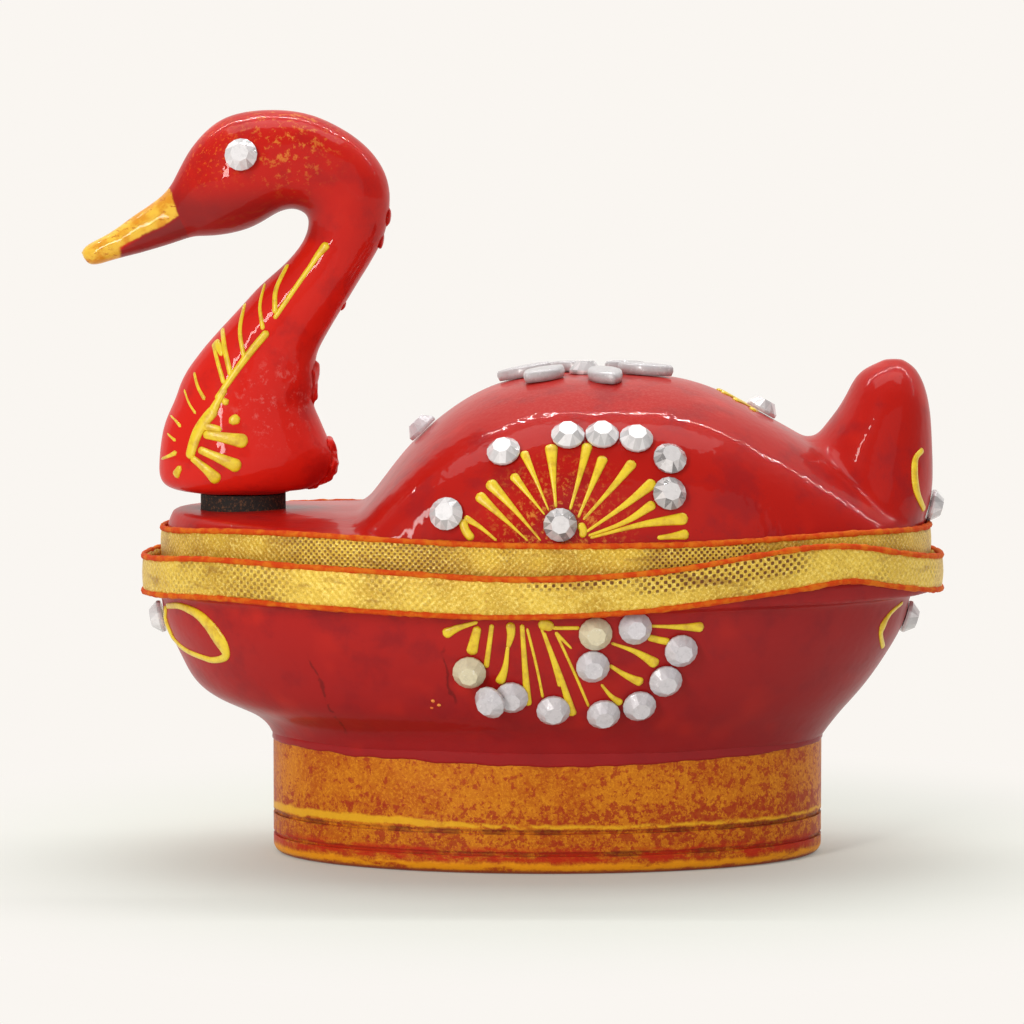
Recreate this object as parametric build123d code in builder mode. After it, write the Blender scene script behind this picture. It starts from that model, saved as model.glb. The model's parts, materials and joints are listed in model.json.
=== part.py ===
from build123d import *
import os
from math import cos, radians, sin, sqrt

# Swan-shaped kumkum box: footed bowl, lift-off lid, and a neck that turns on its screw.
# The beak points to -X, the tail to +X and the foot stands on Z = 0. Millimetres and degrees.

# Foot: an oval plinth with two fine lines round it and a spigot on top
FOOT_LENGTH = 66.0
FOOT_WIDTH = 39.0
FOOT_HEIGHT = 13.8
FOOT_EDGE_RADIUS = 1.2
FOOT_LINE_HEIGHTS = (2.2, 4.8)
FOOT_LINE_WIDTH = 0.5
FOOT_LINE_DEPTH = 0.35
SPIGOT_INSET = 9.0
SPIGOT_HEIGHT = 1.5
SPIGOT_CLEARANCE = 0.1

# Bowl: a boat-shaped wall that flares from the foot to a straight rim flange
RIM_LENGTH = 94.8
RIM_WIDTH = 56.0
RIM_SHIFT = -0.6
BOWL_HEIGHT = 21.0
FLANGE_DEPTH = 3.0
FLANGE_FRONT = 1.1
FLANGE_REAR = 3.0
FLANGE_SIDE = 1.2
BOWL_WALL = 3.4
BOWL_FLOOR = 3.6
MOUTH_WALL = 5.2
MOUTH_DEPTH = 3.6

# Bowl wall: share of its height, then how far the front, the rear and the sides have flared
BOWL_FLARE = (
    (0.00, 0.00, 0.00, 0.00),
    (0.09, 0.05, 0.10, 0.075),
    (0.18, 0.21, 0.22, 0.22),
    (0.27, 0.48, 0.35, 0.42),
    (0.38, 0.67, 0.50, 0.58),
    (0.52, 0.78, 0.66, 0.72),
    (0.68, 0.88, 0.82, 0.85),
    (0.84, 0.95, 0.93, 0.94),
    (1.00, 1.00, 1.00, 1.00),
)
WELL_SHARES = (0.38, 0.52, 0.68, 0.84)

# Lid: a straight edge for the ribbon, a crowned deck, and a lip that drops into the mouth
LID_END_SETBACK = 1.9
LID_SIDE_SETBACK = 1.1
LID_OFFSET = 0.4
LID_EDGE_HEIGHT = 4.5
LID_WALL = 4.0
DECK_RISE = 2.2
DECK_CROWN = 1.82
DECK_EDGE_RADIUS = 0.9
SHOULDER_TAPER = 20.0
LIP_DEPTH = 2.6
LIP_WALL = 2.0
LIP_CLEARANCE = 0.3
HOLLOW_LEDGE = 0.6

# Back: a hump across the whole lid, set back from its two ends
BACK_SETBACK = 21.7
BACK_REAR_SETBACK = 2.3
BACK_RISE = 16.0
BACK_FULLNESS = 2.4
BACK_INSET = 0.4
BACK_SINK = 0.5
CREASE_RADIUS = 1.0
SADDLE_RADIUS = 2.0

# Crest of the back: share of its length, then share of its rise over the deck
BACK_CREST = (
    (0.00, -0.06),
    (0.045, 0.10),
    (0.10, 0.40),
    (0.195, 0.76),
    (0.315, 0.97),
    (0.445, 1.00),
    (0.60, 0.96),
    (0.71, 0.78),
    (0.82, 0.51),
    (0.925, 0.21),
    (1.00, -0.04),
)
HOLLOW_SHARES = (0.10, 0.195, 0.315, 0.445, 0.60, 0.71, 0.78)

# Tail: share of its rise, rear overhang past the lid's end, length, share of the lid's half width
TAIL_RISE = 19.8
TAIL_LIFT = 0.2
TAIL_SHAPE = (
    (0.00, -0.3, 16.0, 0.446),
    (0.15, 0.6, 16.0, 0.401),
    (0.36, 0.8, 15.2, 0.357),
    (0.52, 0.7, 13.7, 0.316),
    (0.71, 0.4, 10.7, 0.268),
    (0.86, -0.4, 8.4, 0.201),
    (0.96, -1.7, 5.0, 0.112),
    (1.00, -2.9, 2.2, 0.052),
)

# Ribbons of gold lace
RIBBON_THICKNESS = 0.5
RIBBON_GAP = 0.05
LID_RIBBON_WIDTH = 4.1
LID_RIBBON_LIFT = 0.5
BOWL_RIBBON_WIDTH = 4.3
BOWL_RIBBON_DROP = 3.5
BOWL_RIBBON_BUMP = 3.0
RIBBON_RUN_OUT = 2.0

# Path of the bowl's ribbon: share of the half length from its middle, then share of the bump
BOWL_RIBBON_PATH = (
    (-1.0, 0.08),
    (-0.8, 0.30),
    (-0.45, 0.14),
    (-0.12, 0.0),
    (0.18, 0.15),
    (0.42, 0.50),
    (0.72, 1.0),
    (0.86, 0.62),
    (1.0, 0.15),
)

# Neck pivot: a screw up through the deck and a soft washer
NECK_SETBACK = 9.2
WASHER_DIAMETER = 10.2
WASHER_THICKNESS = 1.9
SEAT_DEPTH = 0.2
SCREW_DIAMETER = 3.0
SCREW_HEAD_DIAMETER = 5.6
SCREW_HEAD_HEIGHT = 1.8
SCREW_SUNK = 2.4
SCREW_BITE = 9.0
SCREW_POINT = 2.0
SCREW_TIP_DIAMETER = 0.6
PILOT_DIAMETER = 2.4
SLOT_LENGTH = 3.4
SLOT_WIDTH = 0.7
SLOT_DEPTH = 0.9
TURN_GAP = 0.1
SCREW_CLEARANCE = 0.08

# Neck and head from foot to beak tip: offset from the axis, height, tilt, half depth, half width
NECK_SHAPE = (
    (0.0, 0.0, 0.0, 5.6, 5.0),
    (-0.4, 0.45, 0.0, 7.8, 6.1),
    (0.0, 1.2, 0.0, 9.5, 6.9),
    (0.5, 3.2, 1.0, 10.5, 7.5),
    (0.3, 6.1, 0.0, 10.1, 7.4),
    (0.0, 9.5, -1.0, 8.9, 6.9),
    (0.7, 12.9, -4.0, 7.9, 6.4),
    (2.1, 16.3, -10.0, 6.7, 5.8),
    (3.9, 19.2, -21.0, 5.5, 5.2),
    (6.6, 22.6, -27.0, 4.8, 4.7),
    (9.3, 25.9, -25.0, 4.3, 4.35),
    (11.2, 28.6, -16.0, 4.25, 4.2),
    (12.5, 31.5, -2.0, 4.6, 4.3),
    (12.8, 34.0, 13.0, 5.0, 4.6),
    (12.1, 36.2, 30.0, 5.4, 4.9),
    (10.3, 38.0, 48.0, 5.6, 5.2),
    (7.7, 39.2, 68.0, 5.8, 5.5),
    (5.0, 39.5, 83.0, 6.2, 5.8),
    (1.9, 38.9, 93.0, 6.7, 6.0),
    (-1.1, 37.9, 99.0, 6.7, 5.8),
    (-3.8, 36.5, 103.0, 5.9, 5.0),
    (-5.8, 35.1, 105.0, 4.6, 4.0),
    (-7.4, 33.7, 106.0, 3.35, 3.2),
    (-9.5, 32.3, 108.0, 2.65, 2.7),
    (-13.1, 30.5, 112.0, 2.05, 2.4),
    (-16.4, 29.0, 116.0, 1.5, 2.1),
    (-18.3, 28.2, 120.0, 1.2, 1.6),
    (-18.8, 27.95, 122.0, 0.75, 0.9),
)

# Flat-back stones
STONE_DIAMETER = 3.8
STONE_TABLE = 2.2
STONE_HEIGHT = 1.7
STONE_GIRDLE = 0.5
STONE_SIDES = 12
GLUE_GAP = 0.05

# Where the stones sit: fans are given by angle and distance round the fan's root
LID_FAN_OFFSET = -7.1
LID_FAN_LIFT = 4.5
LID_FAN = (
    (115.0, 2.7),
    (166.0, 14.6),
    (126.0, 12.9),
    (91.0, 12.2),
    (73.0, 12.8),
    (57.0, 14.1),
    (40.0, 15.0),
    (27.0, 12.8),
)
BOWL_FAN_X = -1.0
BOWL_FAN_DROP = 4.0
BOWL_FAN = (
    (217.0, 10.2),
    (250.0, 9.7),
    (278.0, 10.8),
    (303.0, 13.4),
    (318.0, 15.4),
    (333.0, 16.2),
    (347.0, 16.6),
    (355.0, 10.9),
    (346.0, 6.5),
    (318.0, 8.1),
)
LEAN_ON = 1
LEAN_SHIFT = 2.3
LEAN_LIFT = 1.25
LEAN_ANGLE = 30.0
EYE_OFFSET = 0.3
EYE_HEIGHT = 40.4
END_STONE_DROP = 6.4
TAIL_STONE_LIFT = 7.0
CROWN_OFFSET = -5.0
CROWN_RADIUS = 7.3
CROWN_COUNT = 6
CROWN_TURN = 48.0
BACK_FRONT_STONE_RUN = 9.2
BACK_REAR_STONE_RUN = 17.4
BACK_STONE_Y = 2.0

# Sizes that follow from the ones above
RIM_HEIGHT = FOOT_HEIGHT + BOWL_HEIGHT
RIM_HALF_LENGTH = RIM_LENGTH / 2
RIM_HALF_WIDTH = RIM_WIDTH / 2
FLANGE_BASE = RIM_HEIGHT - FLANGE_DEPTH
MOUTH_HALF_LENGTH = RIM_HALF_LENGTH - MOUTH_WALL
MOUTH_HALF_WIDTH = RIM_HALF_WIDTH - MOUTH_WALL
WALL_FRONT = RIM_HALF_LENGTH - RIM_SHIFT - FLANGE_FRONT
WALL_REAR = RIM_HALF_LENGTH + RIM_SHIFT - FLANGE_REAR
WALL_SIDE = RIM_HALF_WIDTH - FLANGE_SIDE
LID_HALF_LENGTH = RIM_HALF_LENGTH - LID_END_SETBACK
LID_HALF_WIDTH = RIM_HALF_WIDTH - LID_SIDE_SETBACK
LID_SHIFT = RIM_SHIFT + LID_OFFSET
LID_FRONT = LID_SHIFT - LID_HALF_LENGTH
LID_REAR = LID_SHIFT + LID_HALF_LENGTH
BACK_FRONT = LID_FRONT + BACK_SETBACK
BACK_REAR = LID_REAR - BACK_REAR_SETBACK
BACK_LENGTH = BACK_REAR - BACK_FRONT
BACK_MIDDLE = (BACK_FRONT + BACK_REAR) / 2
NECK_AXIS = LID_FRONT + NECK_SETBACK
LIP_HALF_LENGTH = MOUTH_HALF_LENGTH - LIP_CLEARANCE
LIP_HALF_WIDTH = MOUTH_HALF_WIDTH - LIP_CLEARANCE
LID_EDGE_TOP = RIM_HEIGHT + LID_EDGE_HEIGHT
DECK_TOP = LID_EDGE_TOP + DECK_RISE
DECK_CROWN_RADIUS = (LID_HALF_WIDTH**2 + DECK_CROWN**2) / (2 * DECK_CROWN)
SEAT_HEIGHT = DECK_TOP - SEAT_DEPTH
NECK_FOOT = SEAT_HEIGHT + WASHER_THICKNESS + TURN_GAP
SCREW_SEAT = RIM_HEIGHT + SCREW_SUNK - TURN_GAP
FAR = 200.0
OVERCUT = 1.0


def blend(start, end, share):
    return start + (end - start) * share


def oval_side(x, centre_x, half_length, half_width):
    """Half width of an oval at the given X."""
    along = (x - centre_x) / half_length
    return half_width * sqrt(max(0.0, 1.0 - along * along))


def bowl_oval(flare, inset):
    """Height, centre X, half length and half width of the bowl's wall, moved in by the inset."""
    share, front_flare, rear_flare, side_flare = flare
    front = blend(FOOT_LENGTH / 2, WALL_FRONT, front_flare) - inset
    rear = blend(FOOT_LENGTH / 2, WALL_REAR, rear_flare) - inset
    side = blend(FOOT_WIDTH / 2, WALL_SIDE, side_flare) - inset
    height = blend(FOOT_HEIGHT, FLANGE_BASE, share)
    return height, (rear - front) / 2, (rear + front) / 2, side


def bowl_flare_at(height):
    """The wall's flare at a height between two of its stations."""
    share = (height - FOOT_HEIGHT) / (FLANGE_BASE - FOOT_HEIGHT)
    for low, high in zip(BOWL_FLARE, BOWL_FLARE[1:]):
        if low[0] <= share <= high[0]:
            part = (share - low[0]) / (high[0] - low[0])
            return tuple(blend(a, b, part) for a, b in zip(low, high))
    return BOWL_FLARE[-1]


def crest_at(share):
    """The back's rise at a share of its length."""
    for low, high in zip(BACK_CREST, BACK_CREST[1:]):
        if low[0] <= share <= high[0]:
            part = (share - low[0]) / (high[0] - low[0])
            return blend(low[1], high[1], part)
    return BACK_CREST[-1][1]


def arch_section(x, half_width, base, top):
    """A full arch across the lid at X, drawn on the plane that faces +X."""
    height = top - base
    turns = (0.0, 12.0, 30.0, 50.0, 70.0, 90.0)
    power = 2.0 / BACK_FULLNESS
    right = [(half_width * cos(radians(t)) ** power, height * sin(radians(t)) ** power) for t in turns]
    right[-1] = (0.0, height)
    left = [(-y, z) for y, z in reversed(right[:-1])]
    with BuildSketch(Plane((x, 0, base), x_dir=(0, 1, 0), z_dir=(1, 0, 0))) as section:
        with BuildLine():
            Spline(*right, *left)
            Line(left[-1], right[0])
        make_face()
    return section.sketch


def oval_ring(centre_x, half_length, half_width, gap, thickness):
    """A thin oval ring for a ribbon, drawn round an edge of the given size."""
    with Locations((centre_x, 0)):
        Ellipse(half_length + gap + thickness, half_width + gap + thickness)
        Ellipse(half_length + gap, half_width + gap, mode=Mode.SUBTRACT)


def seat_on(body, start, toward):
    """The plane on which a stone lies where a line from outside first meets the body."""
    start = Vector(*start)
    toward = Vector(*toward)
    hits = [hit for face in body.faces() for hit in face.find_intersection_points(Axis(start, toward))]
    point, normal = min(hits, key=lambda hit: (hit[0] - start).dot(toward))
    if normal.dot(toward) > 0:
        normal = normal * -1
    along = (0, 1, 0) if abs(normal.X) > 0.7 else (1, 0, 0)
    return Plane(point + normal * GLUE_GAP, x_dir=along, z_dir=normal)


def fan_seats(body, root_x, root_z, fan, side):
    """Seats of one fan of stones on the near (-1) or far (+1) side."""
    seats = []
    for angle, distance in fan:
        x = root_x + distance * cos(radians(angle))
        z = root_z + distance * sin(radians(angle))
        seats.append(seat_on(body, (x, side * FAR, z), (0, -side, 0)))
    return seats


def leaning_seat(seat):
    """A stone that was glued on crooked and leans on the one beside it."""
    origin = seat.from_local_coords(Vector(-LEAN_SHIFT, 0, LEAN_LIFT))
    lean_cos = cos(radians(LEAN_ANGLE))
    lean_sin = sin(radians(LEAN_ANGLE))
    along = seat.x_dir * lean_cos + seat.z_dir * lean_sin
    up = seat.z_dir * lean_cos - seat.x_dir * lean_sin
    return Plane(origin, x_dir=along, z_dir=up)


# Foot
with BuildPart() as foot:
    with BuildSketch():
        Ellipse(FOOT_LENGTH / 2, FOOT_WIDTH / 2)
    extrude(amount=FOOT_HEIGHT)
    fillet(foot.edges().sort_by(Axis.Z)[0], FOOT_EDGE_RADIUS)
    for line_height in FOOT_LINE_HEIGHTS:
        with BuildSketch(Plane.XY.offset(line_height)):
            Ellipse(FOOT_LENGTH / 2 + OVERCUT, FOOT_WIDTH / 2 + OVERCUT)
            Ellipse(FOOT_LENGTH / 2 - FOOT_LINE_DEPTH, FOOT_WIDTH / 2 - FOOT_LINE_DEPTH, mode=Mode.SUBTRACT)
        extrude(amount=FOOT_LINE_WIDTH, mode=Mode.SUBTRACT)
    with BuildSketch(Plane.XY.offset(FOOT_HEIGHT)):
        Ellipse(FOOT_LENGTH / 2 - SPIGOT_INSET, FOOT_WIDTH / 2 - SPIGOT_INSET)
    extrude(amount=SPIGOT_HEIGHT)

# Bowl with its well and the socket for the foot's spigot
with BuildPart() as bowl:
    for flare in BOWL_FLARE:
        height, centre, half_length, half_width = bowl_oval(flare, 0.0)
        with BuildSketch(Plane.XY.offset(height)):
            with Locations((centre, 0)):
                Ellipse(half_length, half_width)
    loft()
    with BuildSketch(Plane.XY.offset(FLANGE_BASE)):
        with Locations((RIM_SHIFT, 0)):
            Ellipse(RIM_HALF_LENGTH, RIM_HALF_WIDTH)
    extrude(amount=FLANGE_DEPTH)
    well_floor = FOOT_HEIGHT + BOWL_FLOOR
    well_flares = [bowl_flare_at(well_floor)]
    well_flares += [flare for flare in BOWL_FLARE if flare[0] in WELL_SHARES]
    for flare in well_flares:
        height, centre, half_length, half_width = bowl_oval(flare, BOWL_WALL)
        with BuildSketch(Plane.XY.offset(height)):
            with Locations((centre, 0)):
                Ellipse(half_length, half_width)
    with BuildSketch(Plane.XY.offset(RIM_HEIGHT - MOUTH_DEPTH)):
        with Locations((RIM_SHIFT, 0)):
            Ellipse(MOUTH_HALF_LENGTH, MOUTH_HALF_WIDTH)
    loft(mode=Mode.SUBTRACT)
    with BuildSketch(Plane.XY.offset(RIM_HEIGHT - MOUTH_DEPTH)):
        with Locations((RIM_SHIFT, 0)):
            Ellipse(MOUTH_HALF_LENGTH, MOUTH_HALF_WIDTH)
    extrude(amount=MOUTH_DEPTH, mode=Mode.SUBTRACT)
    with BuildSketch(Plane.XY.offset(FOOT_HEIGHT)):
        Ellipse(
            FOOT_LENGTH / 2 - SPIGOT_INSET + SPIGOT_CLEARANCE,
            FOOT_WIDTH / 2 - SPIGOT_INSET + SPIGOT_CLEARANCE,
        )
    extrude(amount=SPIGOT_HEIGHT + SPIGOT_CLEARANCE, mode=Mode.SUBTRACT)

# Ribbon round the bowl's rim, glued on by hand with a bump toward the tail
with BuildPart() as bowl_ribbon:
    with BuildSketch(Plane.XY.offset(FLANGE_BASE)):
        oval_ring(RIM_SHIFT, RIM_HALF_LENGTH, RIM_HALF_WIDTH, RIBBON_GAP, RIBBON_THICKNESS)
    extrude(amount=3 * BOWL_RIBBON_WIDTH)
    ribbon_low = RIM_HEIGHT - BOWL_RIBBON_DROP
    ribbon_end = RIM_HALF_LENGTH + RIBBON_RUN_OUT
    low_points = [
        (along * ribbon_end, ribbon_low + lift * BOWL_RIBBON_BUMP) for along, lift in BOWL_RIBBON_PATH
    ]
    high_points = [(x, z + BOWL_RIBBON_WIDTH) for x, z in low_points]
    with BuildSketch(Plane.XZ):
        with BuildLine():
            Spline(*low_points)
            Line(low_points[-1], high_points[-1])
            Spline(*reversed(high_points))
            Line(high_points[0], low_points[0])
        make_face()
    extrude(amount=RIM_WIDTH, both=True, mode=Mode.INTERSECT)

# Lid: edge, shoulder, crowned deck, back, tail, lip and hollow
with BuildPart() as lid:
    with BuildSketch(Plane.XY.offset(LID_EDGE_TOP)):
        with Locations((LID_SHIFT, 0)):
            Ellipse(LID_HALF_LENGTH, LID_HALF_WIDTH)
    extrude(amount=DECK_RISE, taper=SHOULDER_TAPER)
    with BuildSketch(Plane.YZ):
        with Locations((0, DECK_TOP - DECK_CROWN_RADIUS)):
            Circle(DECK_CROWN_RADIUS)
    extrude(amount=RIM_LENGTH, both=True, mode=Mode.INTERSECT)
    fillet(lid.faces().sort_by(Axis.Z)[-1].edges(), DECK_EDGE_RADIUS)
    with BuildSketch(Plane.XY.offset(RIM_HEIGHT)):
        with Locations((LID_SHIFT, 0)):
            Ellipse(LID_HALF_LENGTH, LID_HALF_WIDTH)
    extrude(amount=LID_EDGE_HEIGHT)
    back_sections = []
    for share, rise in BACK_CREST:
        x = BACK_FRONT + share * BACK_LENGTH
        width = oval_side(x, LID_SHIFT, LID_HALF_LENGTH, LID_HALF_WIDTH) - BACK_INSET
        back_sections.append(arch_section(x, width, LID_EDGE_TOP - BACK_SINK, DECK_TOP + rise * BACK_RISE))
    loft(back_sections)
    front_crease = lid.edges().filter_by(lambda edge: edge.bounding_box().size.Y > LID_HALF_WIDTH * 1.5)
    front_crease = front_crease.filter_by(lambda edge: edge.bounding_box().size.X < LID_HALF_LENGTH / 4)
    fillet(front_crease.sort_by(Axis.X)[0], CREASE_RADIUS)
    tail_base = LID_EDGE_TOP + TAIL_LIFT
    for share, overhang, length, width_share in TAIL_SHAPE:
        rear = LID_REAR + overhang
        with BuildSketch(Plane.XY.offset(tail_base + share * TAIL_RISE)):
            with Locations((rear - length / 2, 0)):
                Ellipse(length / 2, width_share * LID_HALF_WIDTH)
    loft()
    tail_half_width = TAIL_SHAPE[0][3] * LID_HALF_WIDTH
    saddle = lid.edges().filter_by(lambda edge: edge.center().X > BACK_MIDDLE)
    saddle = saddle.filter_by(lambda edge: edge.bounding_box().size.Z > DECK_RISE)
    saddle = saddle.filter_by(lambda edge: edge.bounding_box().size.Y > tail_half_width)
    fillet(saddle.sort_by(Axis.X)[0], SADDLE_RADIUS)
    with BuildSketch(Plane.XY.offset(RIM_HEIGHT)):
        oval_ring(RIM_SHIFT, LIP_HALF_LENGTH - LIP_WALL, LIP_HALF_WIDTH - LIP_WALL, 0.0, LIP_WALL)
    extrude(amount=-LIP_DEPTH)
    hollow_sections = []
    for share in HOLLOW_SHARES:
        x = BACK_FRONT + share * BACK_LENGTH
        lip_side = oval_side(x, RIM_SHIFT, LIP_HALF_LENGTH - LIP_WALL, LIP_HALF_WIDTH - LIP_WALL)
        width = lip_side - HOLLOW_LEDGE
        roof = DECK_TOP + crest_at(share) * BACK_RISE - LID_WALL
        hollow_sections.append(arch_section(x, width, RIM_HEIGHT, roof))
    loft(hollow_sections, mode=Mode.SUBTRACT)
    with Locations((NECK_AXIS, 0, SEAT_HEIGHT)):
        Cylinder(
            WASHER_DIAMETER / 2 + TURN_GAP,
            DECK_RISE,
            align=(Align.CENTER, Align.CENTER, Align.MIN),
            mode=Mode.SUBTRACT,
        )
    with Locations((NECK_AXIS, 0, RIM_HEIGHT)):
        Cylinder(
            SCREW_DIAMETER / 2 + SCREW_CLEARANCE,
            SEAT_HEIGHT - RIM_HEIGHT,
            align=(Align.CENTER, Align.CENTER, Align.MIN),
            mode=Mode.SUBTRACT,
        )
        Cylinder(
            SCREW_HEAD_DIAMETER / 2 + TURN_GAP,
            SCREW_SUNK,
            align=(Align.CENTER, Align.CENTER, Align.MIN),
            mode=Mode.SUBTRACT,
        )

# Ribbon round the lid's edge
with BuildPart() as lid_ribbon:
    with BuildSketch(Plane.XY.offset(RIM_HEIGHT + LID_RIBBON_LIFT)):
        oval_ring(LID_SHIFT, LID_HALF_LENGTH, LID_HALF_WIDTH, RIBBON_GAP, RIBBON_THICKNESS)
    extrude(amount=LID_RIBBON_WIDTH)

# Neck washer
with BuildPart() as neck_washer:
    with BuildSketch(Plane.XY.offset(SEAT_HEIGHT)):
        with Locations((NECK_AXIS, 0)):
            Circle(WASHER_DIAMETER / 2)
            Circle(SCREW_DIAMETER / 2 + SCREW_CLEARANCE, mode=Mode.SUBTRACT)
    extrude(amount=WASHER_THICKNESS)

# Neck and head in one piece, with the pilot hole for the screw
with BuildPart() as neck_and_head:
    for offset, height, tilt, half_depth, half_width in NECK_SHAPE:
        across = (cos(radians(tilt)), 0, sin(radians(tilt)))
        forward = (-sin(radians(tilt)), 0, cos(radians(tilt)))
        station = Plane((NECK_AXIS + offset, 0, NECK_FOOT + height), x_dir=across, z_dir=forward)
        with BuildSketch(station):
            Ellipse(half_depth, half_width)
    loft()
    with Locations((NECK_AXIS, 0, NECK_FOOT)):
        Cylinder(
            PILOT_DIAMETER / 2,
            SCREW_BITE,
            align=(Align.CENTER, Align.CENTER, Align.MIN),
            mode=Mode.SUBTRACT,
        )

# Neck screw, head down in the lid
with BuildPart() as neck_screw:
    shank_length = NECK_FOOT + SCREW_BITE - SCREW_POINT - SCREW_SEAT
    with Locations((NECK_AXIS, 0, SCREW_SEAT)):
        Cylinder(SCREW_DIAMETER / 2, shank_length, align=(Align.CENTER, Align.CENTER, Align.MIN))
        Cylinder(
            SCREW_HEAD_DIAMETER / 2,
            SCREW_HEAD_HEIGHT,
            align=(Align.CENTER, Align.CENTER, Align.MAX),
        )
    with Locations((NECK_AXIS, 0, SCREW_SEAT + shank_length)):
        Cone(
            SCREW_DIAMETER / 2,
            SCREW_TIP_DIAMETER / 2,
            SCREW_POINT,
            align=(Align.CENTER, Align.CENTER, Align.MIN),
        )
    with Locations((NECK_AXIS, 0, SCREW_SEAT - SCREW_HEAD_HEIGHT)):
        for slot_turn in (0, 90):
            Box(
                SLOT_LENGTH,
                SLOT_WIDTH,
                SLOT_DEPTH,
                rotation=(0, 0, slot_turn),
                align=(Align.CENTER, Align.CENTER, Align.MIN),
                mode=Mode.SUBTRACT,
            )

# One stone, copied to every seat
with BuildPart() as stone:
    with BuildSketch():
        RegularPolygon(STONE_DIAMETER / 2, STONE_SIDES)
    extrude(amount=STONE_GIRDLE)
    with BuildSketch(Plane.XY.offset(STONE_GIRDLE)):
        RegularPolygon(STONE_DIAMETER / 2, STONE_SIDES)
    with BuildSketch(Plane.XY.offset(STONE_HEIGHT)):
        RegularPolygon(STONE_TABLE / 2, STONE_SIDES)
    loft(ruled=True)

# Seats of the stones
lid_root_z = RIM_HEIGHT + LID_FAN_LIFT
bowl_root_z = RIM_HEIGHT - BOWL_FAN_DROP
lid_root_x = BACK_MIDDLE + LID_FAN_OFFSET
lid_near_seats = fan_seats(lid.part, lid_root_x, lid_root_z, LID_FAN, -1)
lid_far_seats = fan_seats(lid.part, lid_root_x, lid_root_z, LID_FAN, 1)
bowl_near_seats = fan_seats(bowl.part, BOWL_FAN_X, bowl_root_z, BOWL_FAN, -1)
bowl_far_seats = fan_seats(bowl.part, BOWL_FAN_X, bowl_root_z, BOWL_FAN, 1)
bowl_near_seats.append(leaning_seat(bowl_near_seats[LEAN_ON]))
bowl_far_seats.append(leaning_seat(bowl_far_seats[LEAN_ON]))
eye_point = (NECK_AXIS + EYE_OFFSET, NECK_FOOT + EYE_HEIGHT)
eye_seats = [
    seat_on(neck_and_head.part, (eye_point[0], side * FAR, eye_point[1]), (0, -side, 0)) for side in (-1, 1)
]
end_stone_z = RIM_HEIGHT - END_STONE_DROP
breast_seat = seat_on(bowl.part, (-FAR, 0, end_stone_z), (1, 0, 0))
stern_seat = seat_on(bowl.part, (FAR, 0, end_stone_z), (-1, 0, 0))
tail_seat = seat_on(lid.part, (FAR, 0, RIM_HEIGHT + TAIL_STONE_LIFT), (-1, 0, 0))
back_front_x = BACK_FRONT + BACK_FRONT_STONE_RUN
back_rear_x = BACK_REAR - BACK_REAR_STONE_RUN
crown_x = BACK_MIDDLE + CROWN_OFFSET
back_front_seat = seat_on(lid.part, (back_front_x, BACK_STONE_Y, FAR), (0, 0, -1))
back_rear_seat = seat_on(lid.part, (back_rear_x, BACK_STONE_Y, FAR), (0, 0, -1))
crown_seat = seat_on(lid.part, (crown_x, 0, FAR), (0, 0, -1))
crown_turns = [CROWN_TURN + place * 360.0 / CROWN_COUNT for place in range(CROWN_COUNT)]
crown_ring_seats = [
    seat_on(
        lid.part,
        (crown_x + CROWN_RADIUS * cos(radians(turn)), CROWN_RADIUS * sin(radians(turn)), FAR),
        (0, 0, -1),
    )
    for turn in crown_turns
]

with BuildPart() as eye_stones:
    with Locations(*eye_seats):
        add(stone.part)

with BuildPart() as lid_stones_near:
    with Locations(*lid_near_seats):
        add(stone.part)

with BuildPart() as lid_stones_far:
    with Locations(*lid_far_seats):
        add(stone.part)

with BuildPart() as bowl_stones_near:
    with Locations(*bowl_near_seats):
        add(stone.part)

with BuildPart() as bowl_stones_far:
    with Locations(*bowl_far_seats):
        add(stone.part)

with BuildPart() as breast_stone:
    with Locations(breast_seat):
        add(stone.part)

with BuildPart() as stern_stone:
    with Locations(stern_seat):
        add(stone.part)

with BuildPart() as tail_stone:
    with Locations(tail_seat):
        add(stone.part)

with BuildPart() as back_front_stone:
    with Locations(back_front_seat):
        add(stone.part)

with BuildPart() as back_rear_stone:
    with Locations(back_rear_seat):
        add(stone.part)

with BuildPart() as crown_stone:
    with Locations(crown_seat):
        add(stone.part)

with BuildPart() as crown_ring_stones:
    with Locations(*crown_ring_seats):
        add(stone.part)

# Labels and files
sub_parts = {
    "foot": foot,
    "bowl": bowl,
    "bowl_ribbon": bowl_ribbon,
    "lid": lid,
    "lid_ribbon": lid_ribbon,
    "neck_washer": neck_washer,
    "neck_and_head": neck_and_head,
    "neck_screw": neck_screw,
    "eye_stones": eye_stones,
    "lid_stones_near": lid_stones_near,
    "lid_stones_far": lid_stones_far,
    "bowl_stones_near": bowl_stones_near,
    "bowl_stones_far": bowl_stones_far,
    "breast_stone": breast_stone,
    "stern_stone": stern_stone,
    "tail_stone": tail_stone,
    "back_front_stone": back_front_stone,
    "back_rear_stone": back_rear_stone,
    "crown_stone": crown_stone,
    "crown_ring_stones": crown_ring_stones,
}
os.makedirs("parts", exist_ok=True)
for name, sub_part in sub_parts.items():
    sub_part.part.label = name
    export_step(sub_part.part, "parts/" + name + ".step")
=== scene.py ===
import bpy
import bmesh
import json
import random
import numpy as np
from math import cos, pi, radians, sin, sqrt
from mathutils import Matrix, Vector, noise
from mathutils.bvhtree import BVHTree


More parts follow.
